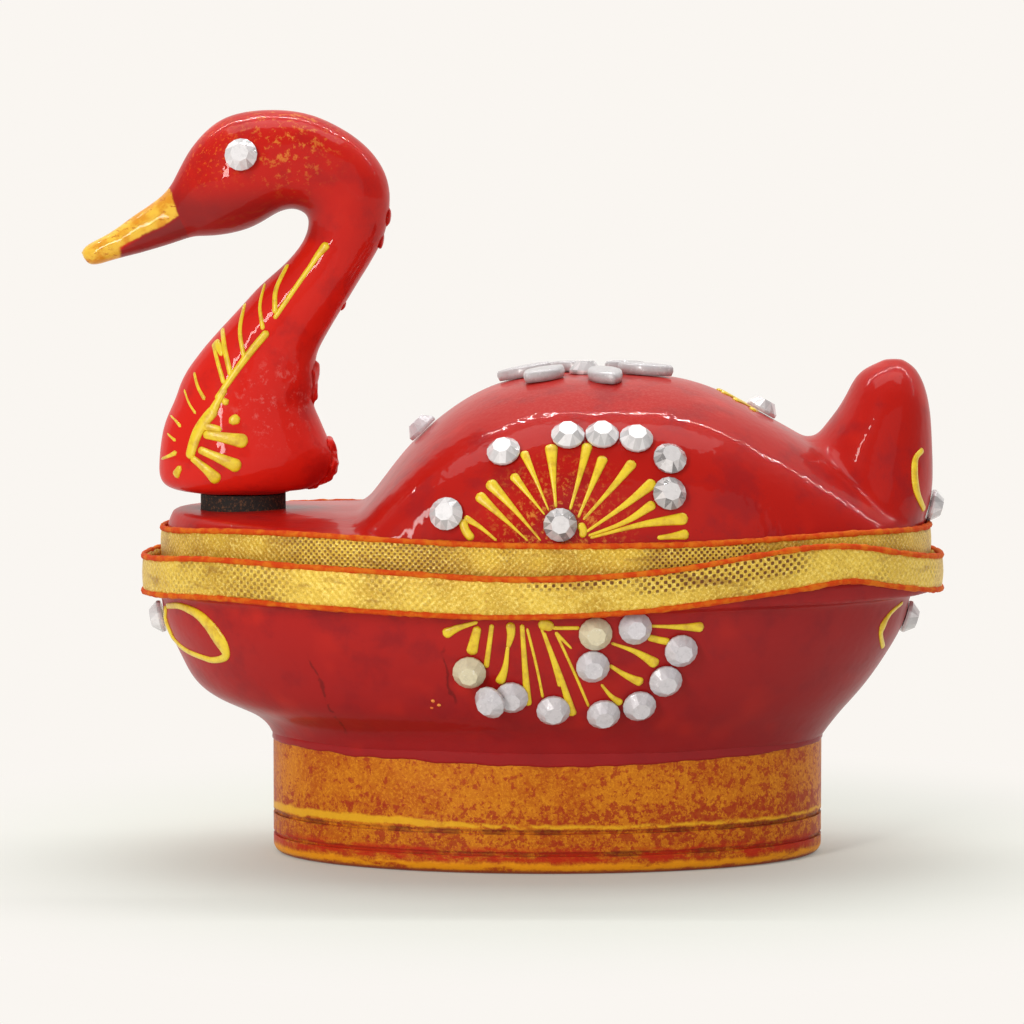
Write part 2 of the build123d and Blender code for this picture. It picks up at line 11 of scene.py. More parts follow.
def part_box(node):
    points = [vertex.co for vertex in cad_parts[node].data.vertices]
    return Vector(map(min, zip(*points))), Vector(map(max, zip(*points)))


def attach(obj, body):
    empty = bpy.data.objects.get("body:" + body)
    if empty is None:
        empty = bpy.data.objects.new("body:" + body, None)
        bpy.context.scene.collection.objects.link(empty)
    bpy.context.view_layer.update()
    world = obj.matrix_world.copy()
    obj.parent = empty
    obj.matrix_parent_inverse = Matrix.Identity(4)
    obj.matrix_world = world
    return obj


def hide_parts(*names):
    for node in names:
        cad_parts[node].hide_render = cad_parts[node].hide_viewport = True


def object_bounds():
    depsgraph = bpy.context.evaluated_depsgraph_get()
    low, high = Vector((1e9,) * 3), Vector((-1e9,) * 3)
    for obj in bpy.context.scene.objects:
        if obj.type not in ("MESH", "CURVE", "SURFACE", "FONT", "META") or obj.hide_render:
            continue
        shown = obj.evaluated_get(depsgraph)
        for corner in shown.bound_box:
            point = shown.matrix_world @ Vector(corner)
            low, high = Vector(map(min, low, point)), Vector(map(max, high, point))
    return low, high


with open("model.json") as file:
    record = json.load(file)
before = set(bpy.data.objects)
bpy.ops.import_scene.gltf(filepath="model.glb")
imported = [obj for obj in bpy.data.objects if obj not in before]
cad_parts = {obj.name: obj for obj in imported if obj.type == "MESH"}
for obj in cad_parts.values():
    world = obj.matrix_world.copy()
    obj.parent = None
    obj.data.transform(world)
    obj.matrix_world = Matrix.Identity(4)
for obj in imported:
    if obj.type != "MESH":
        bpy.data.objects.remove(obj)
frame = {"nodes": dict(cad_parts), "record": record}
cad_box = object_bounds()
nodes = frame["nodes"]

# Swan-shaped kumkum box in red lacquer. Sizes are in millimetres, times MM where they become metres.
MM = 0.001

# Camera, as read from the photograph
IMAGE_SIZE = 1024
TARGET = Vector((-4.26, 0.0, 40.9)) * MM
CAMERA_DISTANCE = 603.0 * MM
CAMERA_ELEVATION = radians(5.08)
VIEW_WIDTH = 122.88 * MM
SENSOR_WIDTH = 36.0
NEAR_CLIP = 10.0 * MM
FORWARD = Vector((0.0, cos(CAMERA_ELEVATION), -sin(CAMERA_ELEVATION)))
UPWARD = Vector((0.0, sin(CAMERA_ELEVATION), cos(CAMERA_ELEVATION)))
RIGHTWARD = Vector((1.0, 0.0, 0.0))
EYE = TARGET - FORWARD * CAMERA_DISTANCE

# Colours, linear
RED = (0.5, 0.01, 0.005)
DEEP_RED_AND_SHADE = (0.27, 0.008, 0.01)
LID_RED = (0.42, 0.008, 0.004)
BOWL_RED = (0.42, 0.011, 0.008)
NECK_LIT_RED = (0.64, 0.014, 0.007)
GLOW_RED = (0.66, 0.022, 0.008)
BOWL_PAINTED_SHADE = (0.22, 0.01, 0.012)
JAW_RED = (0.2, 0.02, 0.02)
MAROON = (0.16, 0.012, 0.012)
CRACK_BLACK = (0.06, 0.004, 0.004)
DUST_AND_SHEEN_PINK = (0.72, 0.24, 0.21)
ORANGE = (0.78, 0.16, 0.012)
GOLD_DUST = (0.8, 0.36, 0.05)
YELLOW = (0.8, 0.58, 0.012)
YELLOW_DARK = (0.62, 0.36, 0.008)
BEAK_LIGHT = (0.8, 0.48, 0.05)
BEAK_DARK = (0.66, 0.27, 0.018)
BEAK_SCRATCH = (0.42, 0.07, 0.01)
FOOT_LIGHT = (0.56, 0.17, 0.006)
FOOT_DARK = (0.44, 0.09, 0.003)
FOOT_GLINT = (0.78, 0.33, 0.012)
FOOT_BOTTOM_SHADE = (0.26, 0.035, 0.01)
FLECK = (0.34, 0.026, 0.006)
GROOVE_SHADE = (0.14, 0.016, 0.006)
LINE_YELLOW = (0.76, 0.4, 0.014)
RIM_ORANGE = (0.8, 0.31, 0.006)
STREAK_RED = (0.46, 0.018, 0.004)
LACE_GLITTER = (0.98, 0.78, 0.22)
LACE_SHADE = (0.36, 0.17, 0.015)
LACE_SMEAR = (0.3, 0.13, 0.012)
LACE_HOLE = (0.11, 0.02, 0.005)
THREAD_RED = (0.56, 0.05, 0.004)
THREAD_ORANGE = (0.64, 0.15, 0.008)
WASHER_BLACK = (0.012, 0.009, 0.007)
WASHER_BROWN = (0.12, 0.05, 0.02)
STEEL_DARK = (0.5, 0.49, 0.46)
STEEL_LIGHT = (0.66, 0.65, 0.62)
STONE_GLINT = (0.95, 0.94, 0.95)
BLACK = (0.0, 0.0, 0.0)
FLOOR_PAPER = (0.53, 0.55, 0.515)
FLOOR_GLOW = (0.956, 0.922, 0.88)
FLOOR_NEAR_GLOW = (0.14, 0.14, 0.125)
SURROUND = (1.0, 0.985, 0.96)
WHITE_LIGHT = (1.0, 1.0, 1.0)
WARM_LIGHT = (1.0, 0.97, 0.93)

# Softened copies of the carved pieces: voxel, smoothing rounds, height and size of the hand-made lumps
CARVING = {
    "lid": (0.42, 10, 0.22, 11),
    "bowl": (0.47, 9, 0.22, 13),
    "neck_and_head": (0.32, 8, 0.2, 6),
}

# Ribbons: (x, height) of the lower and the upper edge, as glued on by hand
LID_RIBBON_LOW = ((-46, 35.2), (-20, 35.4), (0, 35), (20, 35.2), (46, 35.4))
LID_RIBBON_HIGH = (
    (-46, 39.2), (-38, 40), (-29, 40.2), (-17, 39.8), (-6, 39.45),
    (6, 39.35), (17, 39.4), (29, 39.8), (36, 39.9), (46, 39.5),
)
BOWL_RIBBON_LOW = (
    (-48.5, 31.6), (-40, 32.3), (-28, 32), (-17, 31.6), (-7, 31.3), (2, 31.45),
    (11, 31.95), (20, 32.9), (29, 33.9), (35, 34.5), (41, 33.3), (47.4, 31.8),
)
BOWL_RIBBON_HIGH = (
    (-48.5, 35.8), (-41, 36.7), (-29, 36.6), (-17, 36.2), (-6, 35.65), (6, 35.9),
    (15, 36.65), (24, 38), (32, 38.7), (36, 38.4), (41, 37.3), (47.4, 35.8),
)
RIBBON_STEPS = 480
RIBBON_ROWS = 7
RIBBON_THICKNESS = 0.45
RIBBON_PUFF = 0.12
RIBBON_RIPPLE = 0.1
RIBBON_CORD = 0.36
RIPPLE_ROUND = 0.35
RIPPLE_UP = 0.5
THREAD_OUT = 0.75
THREAD_UNEVEN = 0.35
THREAD_GRAIN = 1.3
THREAD_SIDES = 8

# Lace: pitch, light and dull tone, and worn stretches: x, half length, fade-out, lowest hole and share
LACES = {
    "lid": (0.7, (0.7, 0.45, 0.04), (0.5, 0.28, 0.022), (-21, 7, 14, 0, 0.8), (18, 5, 9, 0, 1)),
    "bowl": (
        0.95, (0.78, 0.53, 0.065), (0.58, 0.35, 0.032),
        (20, 8, 12, 2, 1), (4, 4, 9, 3.2, 1), (-34, 1, 7, 0, 0.6),
    ),
}

# Painted strokes, in pixels of the photograph: width at the start, width at the end, and path
LID_FAN_STROKES = (
    (3, 15, (556, 508), (553, 475), (551, 444)),
    (3, 12, (570, 510), (580, 475), (588, 443)),
    (3, 12, (578, 518), (592, 485), (604, 456)),
    (3, 12, (583, 520), (612, 488), (634, 461)),
    (3, 13, (586, 532), (625, 505), (655, 481)),
    (3, 11, (588, 536), (625, 522), (655, 503)),
    (3, 14, (590, 538), (640, 525), (688, 518)),
    (5, 13, (657, 538), (675, 536), (689, 534)),
    (2, 10, (549, 511), (536, 480), (523, 451)),
    (2, 11, (545, 515), (528, 494), (512, 474)),
    (2, 14, (541, 541), (513, 508), (488, 481)),
    (2, 13, (528, 541), (500, 515), (477, 494)),
    (3, 8, (497, 541), (480, 527), (464, 517)),
    (9, 9, (462, 519), (466, 531), (473, 540)),
    (9, 7, (579, 523), (583, 530), (582, 538)),
)
BOWL_FAN_STROKES = (
    (4, 13, (478, 622), (458, 628), (443, 635)),
    (9, 13, (478, 626), (474, 642), (471, 655)),
    (5, 6, (492, 624), (489, 647), (486, 668)),
    (10, 4, (510, 622), (511, 634), (508, 648)),
    (4, 12, (508, 646), (505, 668), (499, 684)),
    (5, 9, (522, 624), (525, 668), (528, 706)),
    (3, 3, (527, 628), (536, 664), (543, 698)),
    (3, 4, (540, 624), (551, 656), (560, 687)),
    (12, 10, (538, 624), (546, 625), (554, 628)),
    (4, 4, (552, 628), (566, 628), (580, 628)),
    (4, 2, (555, 632), (563, 640), (572, 649)),
    (3, 10, (544, 632), (559, 672), (573, 716)),
    (3, 3, (556, 633), (574, 672), (589, 707)),
    (3, 13, (611, 643), (636, 652), (658, 665)),
    (4, 11, (609, 665), (627, 676), (643, 683)),
    (3, 9, (601, 684), (611, 696), (622, 704)),
    (7, 8, (647, 637), (659, 640), (670, 642)),
    (3, 12, (650, 626), (680, 627), (704, 627)),
)
NECK_VINE_STROKES = (
    (5, 10, (308, 270), (318, 255), (328, 243)),
    (5, 5, (312, 264), (298, 284), (274, 319)),
    (8, 6, (268, 331), (252, 350), (236, 371), (216, 400)),
    (6, 11, (226, 388), (217, 403), (212, 413)),
    (12, 9, (216, 408), (204, 422), (196, 436), (189, 459)),
    (8, 6, (202, 426), (214, 428), (222, 430)),
    (4, 6, (288, 264), (276, 290), (275, 314)),
    (3, 5, (265, 283), (260, 306), (263, 330)),
    (4, 5, (245, 303), (240, 331), (245, 362)),
    (5, 6, (222, 325), (225, 350), (231, 376)),
    (4, 5, (213, 343), (218, 363), (224, 384)),
    (9, 4, (215, 341), (219, 347), (222, 356)),
    (3, 4, (194, 372), (198, 387), (205, 400)),
    (2, 3, (184, 389), (189, 403), (196, 414)),
    (2, 4, (170, 415), (175, 420), (181, 427)),
    (2, 4, (167, 433), (171, 437), (176, 441)),
    (3, 6, (161, 459), (169, 456), (177, 452)),
    (6, 11, (181, 466), (178, 471), (175, 477)),
    (7, 9, (222, 404), (225, 402), (229, 400)),
    (9, 14, (229, 423), (234, 420), (240, 418)),
    (9, 17, (203, 434), (226, 438), (248, 442)),
    (8, 16, (198, 449), (219, 458), (241, 468)),
    (7, 15, (191, 457), (207, 470), (219, 482)),
)
BOWL_FRONT_LOOP = (
    (166, 606), (180, 606), (196, 613), (207, 623), (216, 635), (224, 648), (225, 657),
    (213, 660), (199, 656), (186, 650), (176, 641), (170, 630), (166, 618), (166, 606),
)
BOWL_FRONT_LOOP_WIDTHS = (6, 7, 9, 11, 12, 12, 9, 7, 6, 6, 6, 5, 5, 6)
BOWL_REAR_STROKES = ((4, 6, (903, 602), (889, 615), (881, 631), (883, 648)),)
TAIL_STROKES = ((6, 7, (923, 449), (915, 461), (916, 488), (924, 510)),)
ORANGE_SPECKS = (
    (3, 4, (431, 700), (433, 701), (435, 702)),
    (3, 3, (437, 706), (439, 705), (441, 706)),
    (2, 3, (430, 707), (432, 708), (433, 707)),
)
STROKE_STEP = 1.5

# Small fan on the rear slope of the back: directions in degrees, then sizes
BACK_FAN_TURNS = range(105, 256, 25)
BACK_FAN_START = 2.3
BACK_FAN_LENGTH = 3.2
BACK_FAN_WIDTHS = (0.5, 1.1)
BACK_FAN_STEPS = 24

# Raised paint: its height and depth, limits of its shape, and its section as (share across, share of height)
STROKE_HEIGHT = 0.3
STROKE_SINK = 0.06
STROKE_NARROWEST = 0.45
STROKE_FULLNESS = 0.55
STROKE_END = 0.005
STROKE_SWELL = 1.8
STROKE_SECTION = ((-1, 0), (-0.9, 0.42), (-0.62, 0.78), (0, 1), (0.62, 0.78), (0.9, 0.42), (1, 0))

# Lacquer of each piece: upper and lower red, the heights between which they blend, patchiness and gloss. The
# blend is partly painted shade low on the lid and bowl, and painted light low on the neck
LACQUERS = {
    "lid": (LID_RED, DEEP_RED_AND_SHADE, 20, 44, 0.6, 0.26),
    "bowl": (BOWL_RED, DEEP_RED_AND_SHADE, 8, 44, 0.85, 0.26),
    "neck": (RED, NECK_LIT_RED, 66, 82, 0.4, 0.32),
}
CLOUD = (9, 4, 0.55)
CLOUD_SWING = 8

# Grain: feature size, detail, roughness and stretch of the noise, then start, full and strength of the mask
GRAINS = {
    "patch": ((5, 5, 0.6), (0.48, 0.68)),
    "glow": ((7, 2, 0.5), (0.55, 0.8, 0.35)),
    "fan_dust": ((0.6, 4, 0.7), (0.5, 0.66, 0.55)),
    "lid_specks": ((0.45, 2, 0.6), (0.66, 0.78, 0.35)),
    "lid_dust_and_sheen": ((0.35, 3, 0.7), (0.45, 0.62, 0.08)),
    "crack": ((1.2, 2, 0.5), (0.35, 0.5, 0.5)),
    "head_dust": ((0.9, 4, 0.7), (0.52, 0.66, 0.5)),
    "brow_dust": ((0.5, 3, 0.7), (0.55, 0.66, 0.45)),
    "chest_bloom": ((1.3, 5, 0.75), (0.52, 0.66, 0.45)),
    "beak_tone": ((2.2, 3, 0.6), (0.4, 0.62)),
    "beak_scratch": ((1.5, 5, 0.75, (1, 1, 3)), (0.56, 0.66, 0.8)),
    "foot_tone": ((6, 4, 0.6), (0.36, 0.64)),
    "foot_glint": ((0.35, 3, 0.75), (0.45, 0.64, 0.45)),
    "foot_line": ((2, 4, 0.65), (0.36, 0.5)),
    "foot_groove_shade": ((3, 4, 0.5), (0.44, 0.56, 0.5)),
    "foot_rim": ((2, 4, 0.6, (0.4, 0.4, 1.5)), (0.34, 0.48, 0.85)),
    "foot_streak": ((2.5, 5, 0.68, (0.4, 0.4, 1.4)), (0.4, 0.53, 0.9)),
    "stroke": ((1.2, 4, 0.65), (0.42, 0.72)),
    "lace_tone": ((7, 4, 0.6), (0.35, 0.68)),
    "lace_smear": ((3.2, 5, 0.65, (0.35, 0.35, 1.3)), (0.56, 0.68, 0.6)),
    "lace_wear": ((8, 3, 0.6), (0.52, 0.68, 0.45)),
    "thread": ((1.5, 4, 0.7), (0.4, 0.65)),
    "washer": ((0.35, 3, 0.75), (0.52, 0.64)),
    "stone_cloud": ((0.55, 4, 0.7), (0.46, 0.66)),
    "stone_glint": ((0.4, 3, 0.7), (0.6, 0.68)),
}
GLITTER = (0.32, 3, 0.8)
STEEL_TURNING = (0.5, 3, 0.6, (1, 1, 6))

# Unevenness of each finish: feature size, detail, roughness, strength and height
BUMPS = {
    "lacquer": ((0.8, 0.5, 0.4, 0.2, 0.12), (4, 2, 0.5, 0.14, 0.5)),
    "foot": ((0.5, 3, 0.6, 0.4, 0.12), (3, 3, 0.5, 0.3, 0.5)),
    "stroke": ((0.4, 2, 0.5, 0.3, 0.08),),
    "thread": ((0.25, 2, 0.6, 0.5, 0.1),),
    "washer": ((0.3, 3, 0.7, 0.7, 0.2),),
    "stone": ((0.5, 3, 0.6, 0.2, 0.1),),
}
WEAVE_BUMP = (0.35, 0.12)
GLITTER_BUMP = (0.4, 0.12)
STEEL_BUMP = (0.2, 0.05)
STROKE_FINISH = {"Roughness": 0.38, "Coat_Weight": 0.2, "Coat_Roughness": 0.2}
THREAD_FINISH = {"Roughness": 0.7, "Specular_IOR_Level": 0.1}

# Wandering of painted edges: feature size, detail, roughness and swing
WAVES = {
    "crack": (2.5, 3, 0.5, 2.2),
    "beak": (1.6, 3, 0.5, 0.9),
    "foot_drift": (9, 3, 0.5, 1),
    "foot_shake": (1.6, 4, 0.6, 0.9),
    "lace": (1.4, 3, 0.7, 1.2),
}

# Spots of dust and bloom in the side view: x, height, radius of the full part and of the whole, then the
# heights and rear edge of the dust and painted sheen on top of the back
FAN_SPOT = (1, 41, 2, 11)
HEAD_SPOT = (-31, 86, 1, 9)
BROW_SPOT = (-40.5, 84.5, 1, 7)
CHEST_SPOT = (-32.5, 54.5, 1, 7.5)
BACK_DUST_AND_SHEEN_HEIGHTS = (51, 56.5)
BACK_DUST_AND_SHEEN_REAR = (26, 20)

# Slanted lines of the side view: x, height, and the shares of x and of height in the distance from them
FACE_LINE = (-43.6, 76.5, -1, -0.4)
BEAK_LINE = (-43.74, 76.4, -0.52, 1)

# Masks: where each starts and is full, and its strength where that is not 1
BOWL_PAINTED_SHADE_RUN = (2, 30, 0.55)
OUTWARD_FADE = (0, 2)
CRACK_GAP = (0.26, 0.06)
THROAT_SHADE_REAR = (-25, -29.5, 0.62)
FACE_FADE = (0, 0.3)
BEAK_LOWEST = (66, 67)
BEAK_TOP_FADE = (-0.1, 0.25)
BEAK_TIP = (-50.6, -51.2)
JAW_FADE = (0, -0.5, 0.75)
FOOT_WEAR_REAR = (-12, 28)
FOOT_WEAR_LOW = (9, 4)
YELLOW_FROM = (5.35, 5.65)
YELLOW_UNTIL = (6.6, 6.2, 0.85)
YELLOW_THINS = (-16, -6, 0.55)
YELLOW_BREAKS = (-8, -16)
FOOT_BOTTOM_SHADE_FADE = (0.6, 0.2, 0.8)
GLITTER_BRIGHT = (0.5, 0.66, 0.75)
GLITTER_DULL = (0.46, 0.32, 0.65)
HOLE_FADE = (0.12, 0.34, 0.9)

# Bands of height: where each starts, is full, is full until, and has gone
THROAT_SHADE_BAND = (73, 74.5, 77, 81)
FOOT_WEAR_BAND = (5.4, 6.2, 7.4, 9)
FOOT_GROOVES = ((2, 2.2, 2.7, 2.95), (4.6, 4.8, 5.3, 5.55))
FOOT_RIM = (0.3, 0.7, 1, 1.5)
FOOT_STREAK = (1.2, 1.8, 2.5, 3.5)

# Cracks in the bowl's lacquer as x, height, lean and half length, and the foot's wear as size and mask
BOWL_CRACKS = ((-26, 21, -0.42, 5.5), (-11.5, 24, -0.2, 4))
CRACK_FADE = 1.5
FOOT_WEAR = ((1.2, 0.565, 0.615, 0.8), (0.5, 0.58, 0.64, 0.8))
FOOT_WEAR_GRAIN = (5, 0.7)
FOOT_WEAR_MORE = 0.035
WEAR_FADE = (0.6, 0.3)

# Red paint over the foot's joint: (x, height) of its edge, its wave, and its section as (lift, stand-off)
SKIRT_LOW = ((-33, 13.7), (-18, 13.2), (-5, 12.9), (8, 12.75), (16, 13.05), (33, 13.7))
SKIRT_WAVE = 0.25
SKIRT_LONG = 0.28
SKIRT_FINE = 1.1
SKIRT_FINE_SHARE = 0.4
SKIRT_BEAD = 0.3
SKIRT_SECTION = ((0, -0.05), (0.08, 0.1), (0.3, 0.14), (0.6, 0.1), (1.2, 0.02), (1.8, -0.3))

# Lumps of thick paint on the back of the neck: x, height, radius, and how far each has run down
NECK_LUMPS = (
    (-27.6, 57.4, 1, 1.5),
    (-27.3, 55.2, 1, 1.6),
    (-26.3, 48.6, 1, 1.5),
    (-25.7, 46.6, 1.3, 1.3),
    (-26.6, 44.8, 1.2, 0.9),
    (-28.2, 43.9, 0.9, 0.7),
    (-18.9, 76.4, 0.6, 2.2),
    (-19.2, 73.2, 0.55, 2),
    (-24.4, 65.8, 0.5, 1.6),
)
LUMP_SPREAD = 1.5
LUMP_SINK = 0.12
LUMP_FLAT = 0.6
LUMP_UNEVEN = 0.5
LUMP_GRAIN = 0.7
LUMP_VOXEL = 0.14
LUMP_ROUNDS = 4

# Stones: shares of the radius and height, least brightness of the table facet (a painted highlight) and of
# each petal, and stones picked out by pixel
STONE_RADIUS = 1.95
STONE_HEIGHT = 1.55
FACETS = 8
FOOT_SHARE = 0.96
TABLE_SHARE = 0.56
GIRDLE_SHARE = 0.3
TABLE_HIGHLIGHT_LEAST = 0.8
PETAL_LEAST = 0.75
STONE_DULL = 0.62
STONE_END_SHARE = 0.1
SAME_POINT = 1e-6
PETAL_LENGTH = 6.8
PETAL_WIDTH = 4
PETAL_HEIGHT = 1.35
PETAL_STEPS = 28
PETAL_POINT = 0.6
PETAL_SECTION = ((0.94, 0), (1, 0.4), (0.99, 0.7), (0.92, 0.92), (0.6, 1))
FROSTED_NODES = ("bowl_stones_near", "bowl_stones_far", "crown_ring_stones", "back_front_stone")
PETAL_NODE = "crown_ring_stones"
PICKED_STONES = {"cream": ((471, 675), (595, 636)), "dark": ((560, 523), (672, 460), (668, 490))}
NEAR_STONE = 12

# Looks of the stones: tint, roughness, contrast between facets as painted reflections, and cloudiness
STONE_LOOKS = {
    "bright": ((0.84, 0.82, 0.83), 0.15, 0.45, 0.3),
    "dark": ((0.74, 0.71, 0.71), 0.12, 0.75, 0.3),
    "frosted": ((0.64, 0.61, 0.64), 0.4, 0.16, 0.35),
    "cream": ((0.7, 0.62, 0.42), 0.4, 0.16, 0.35),
    "petal": ((0.5, 0.48, 0.49), 0.35, 0.2, 0.35),
}

# Studio: the sweep in metres, where the shadow on it starts to fade and has gone in mm, and the surroundings
SWEEP_HALF = 3
SWEEP_FRONT = -2
SWEEP_BACK = 0.9
SWEEP_BEND = 0.5
SWEEP_TOP = 3
FLOOR_NEAR = 42
FLOOR_FAR = 95
SURROUND_STRENGTH = 0.34

# Lights: place, length along x, height, power, the point that each faces, and colour
LIGHTS = {
    "overhead_softbox": ((0, 0.05, 0.8), 0.9, 0.3, 2.4, (0, 0, 0.04), WHITE_LIGHT),
    "overhead_strip": ((0.45, 0.3, 0.66), 2, 0.005, 4.6, (0.45, 0, 0.04), WHITE_LIGHT),
    "key_softbox": ((-0.6, -0.9, 0.5), 0.09, 0.9, 7.8, (0, 0, 0.04), WARM_LIGHT),
    "fill_softbox": ((0.5, -1.1, 0.4), 1.2, 1, 2, (0, 0, 0.04), WHITE_LIGHT),
}


# Shared helpers

def pixel_aim(px, py):
    """The direction from the camera through a pixel of the photograph."""
    pitch = VIEW_WIDTH / IMAGE_SIZE
    across = RIGHTWARD * (px - IMAGE_SIZE / 2) * pitch
    down = UPWARD * (py - IMAGE_SIZE / 2) * pitch
    return (FORWARD * CAMERA_DISTANCE + across - down).normalized()


def pixel_of(point):
    """The pixel of the photograph at which a point is seen."""
    away = point - EYE
    depth = away.dot(FORWARD)
    pitch = VIEW_WIDTH / IMAGE_SIZE * depth / CAMERA_DISTANCE
    return IMAGE_SIZE / 2 + away.dot(RIGHTWARD) / pitch, IMAGE_SIZE / 2 - away.dot(UPWARD) / pitch


def course(points, x):
    """A smooth line through (x, value) points."""
    places = [p[0] for p in points]
    values = [p[1] for p in points]
    slopes = np.gradient(values, places)
    index = int(np.clip(np.searchsorted(places, x) - 1, 0, len(points) - 2))
    run = places[index + 1] - places[index]
    t = min(max((x - places[index]) / run, 0.0), 1.0)
    start = (1 + 2 * t) * (1 - t) ** 2 * values[index] + t * (1 - t) ** 2 * run * slopes[index]
    end = t * t * (3 - 2 * t) * values[index + 1] + t * t * (t - 1) * run * slopes[index + 1]
    return start + end


def smooth_path(points, step):
    """Points about a step apart on a curve through the given ones."""
    ends = [2 * Vector(points[0]) - Vector(points[1])] + [Vector(p) for p in points]
    ends += [2 * Vector(points[-1]) - Vector(points[-2])]
    path = []
    for a, b, c, d in zip(ends, ends[1:], ends[2:], ends[3:]):
        count = max(2, int((c - b).length / step))
        for place in range(count):
            t = place / count
            bend = 2 * b + (c - a) * t + (2 * a - 5 * b + 4 * c - d) * t**2 + (3 * b - a - 3 * c + d) * t**3
            path.append(bend / 2)
    path.append(ends[-2])
    return path


def add_object(name, data):
    """Puts a new object into the scene."""
    thing = bpy.data.objects.new(name, data)
    bpy.context.scene.collection.objects.link(thing)
    return thing


def new_piece(name, mesh, material, body, stands_for=()):
    """Adds a mesh to the scene as a piece that rides on a body."""
    piece = add_object(name, mesh)
    mesh.materials.clear()
    mesh.materials.append(material)
    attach(piece, body)
    if stands_for:
        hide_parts(*stands_for)
    return piece


def mesh_of(name, bm, smooth=True):
    """Turns a bmesh into a mesh."""
    bmesh.ops.recalc_face_normals(bm, faces=bm.faces)
    mesh = bpy.data.meshes.new(name)
    bm.to_mesh(mesh)
    bm.free()
    mesh.polygons.foreach_set("use_smooth", [smooth] * len(mesh.polygons))
    return mesh


def join_rings(bm, rings, closed=False):
    """Faces between neighbouring rings of points, and from the last to the first where closed."""
    followers = rings[1:] + rings[:1] if closed else rings[1:]
    faces = []
    for ring, following in zip(rings, followers):
        for place in range(len(ring)):
            after = (place + 1) % len(ring)
            faces.append(bm.faces.new((ring[place], ring[after], following[after], following[place])))
    return faces


def surface_of(piece):
    """A search tree over a piece's faces."""
    mesh = piece.data
    points = [v.co.copy() for v in mesh.vertices]
    faces = [tuple(p.vertices) for p in mesh.polygons]
    return BVHTree.FromPolygons(points, faces)


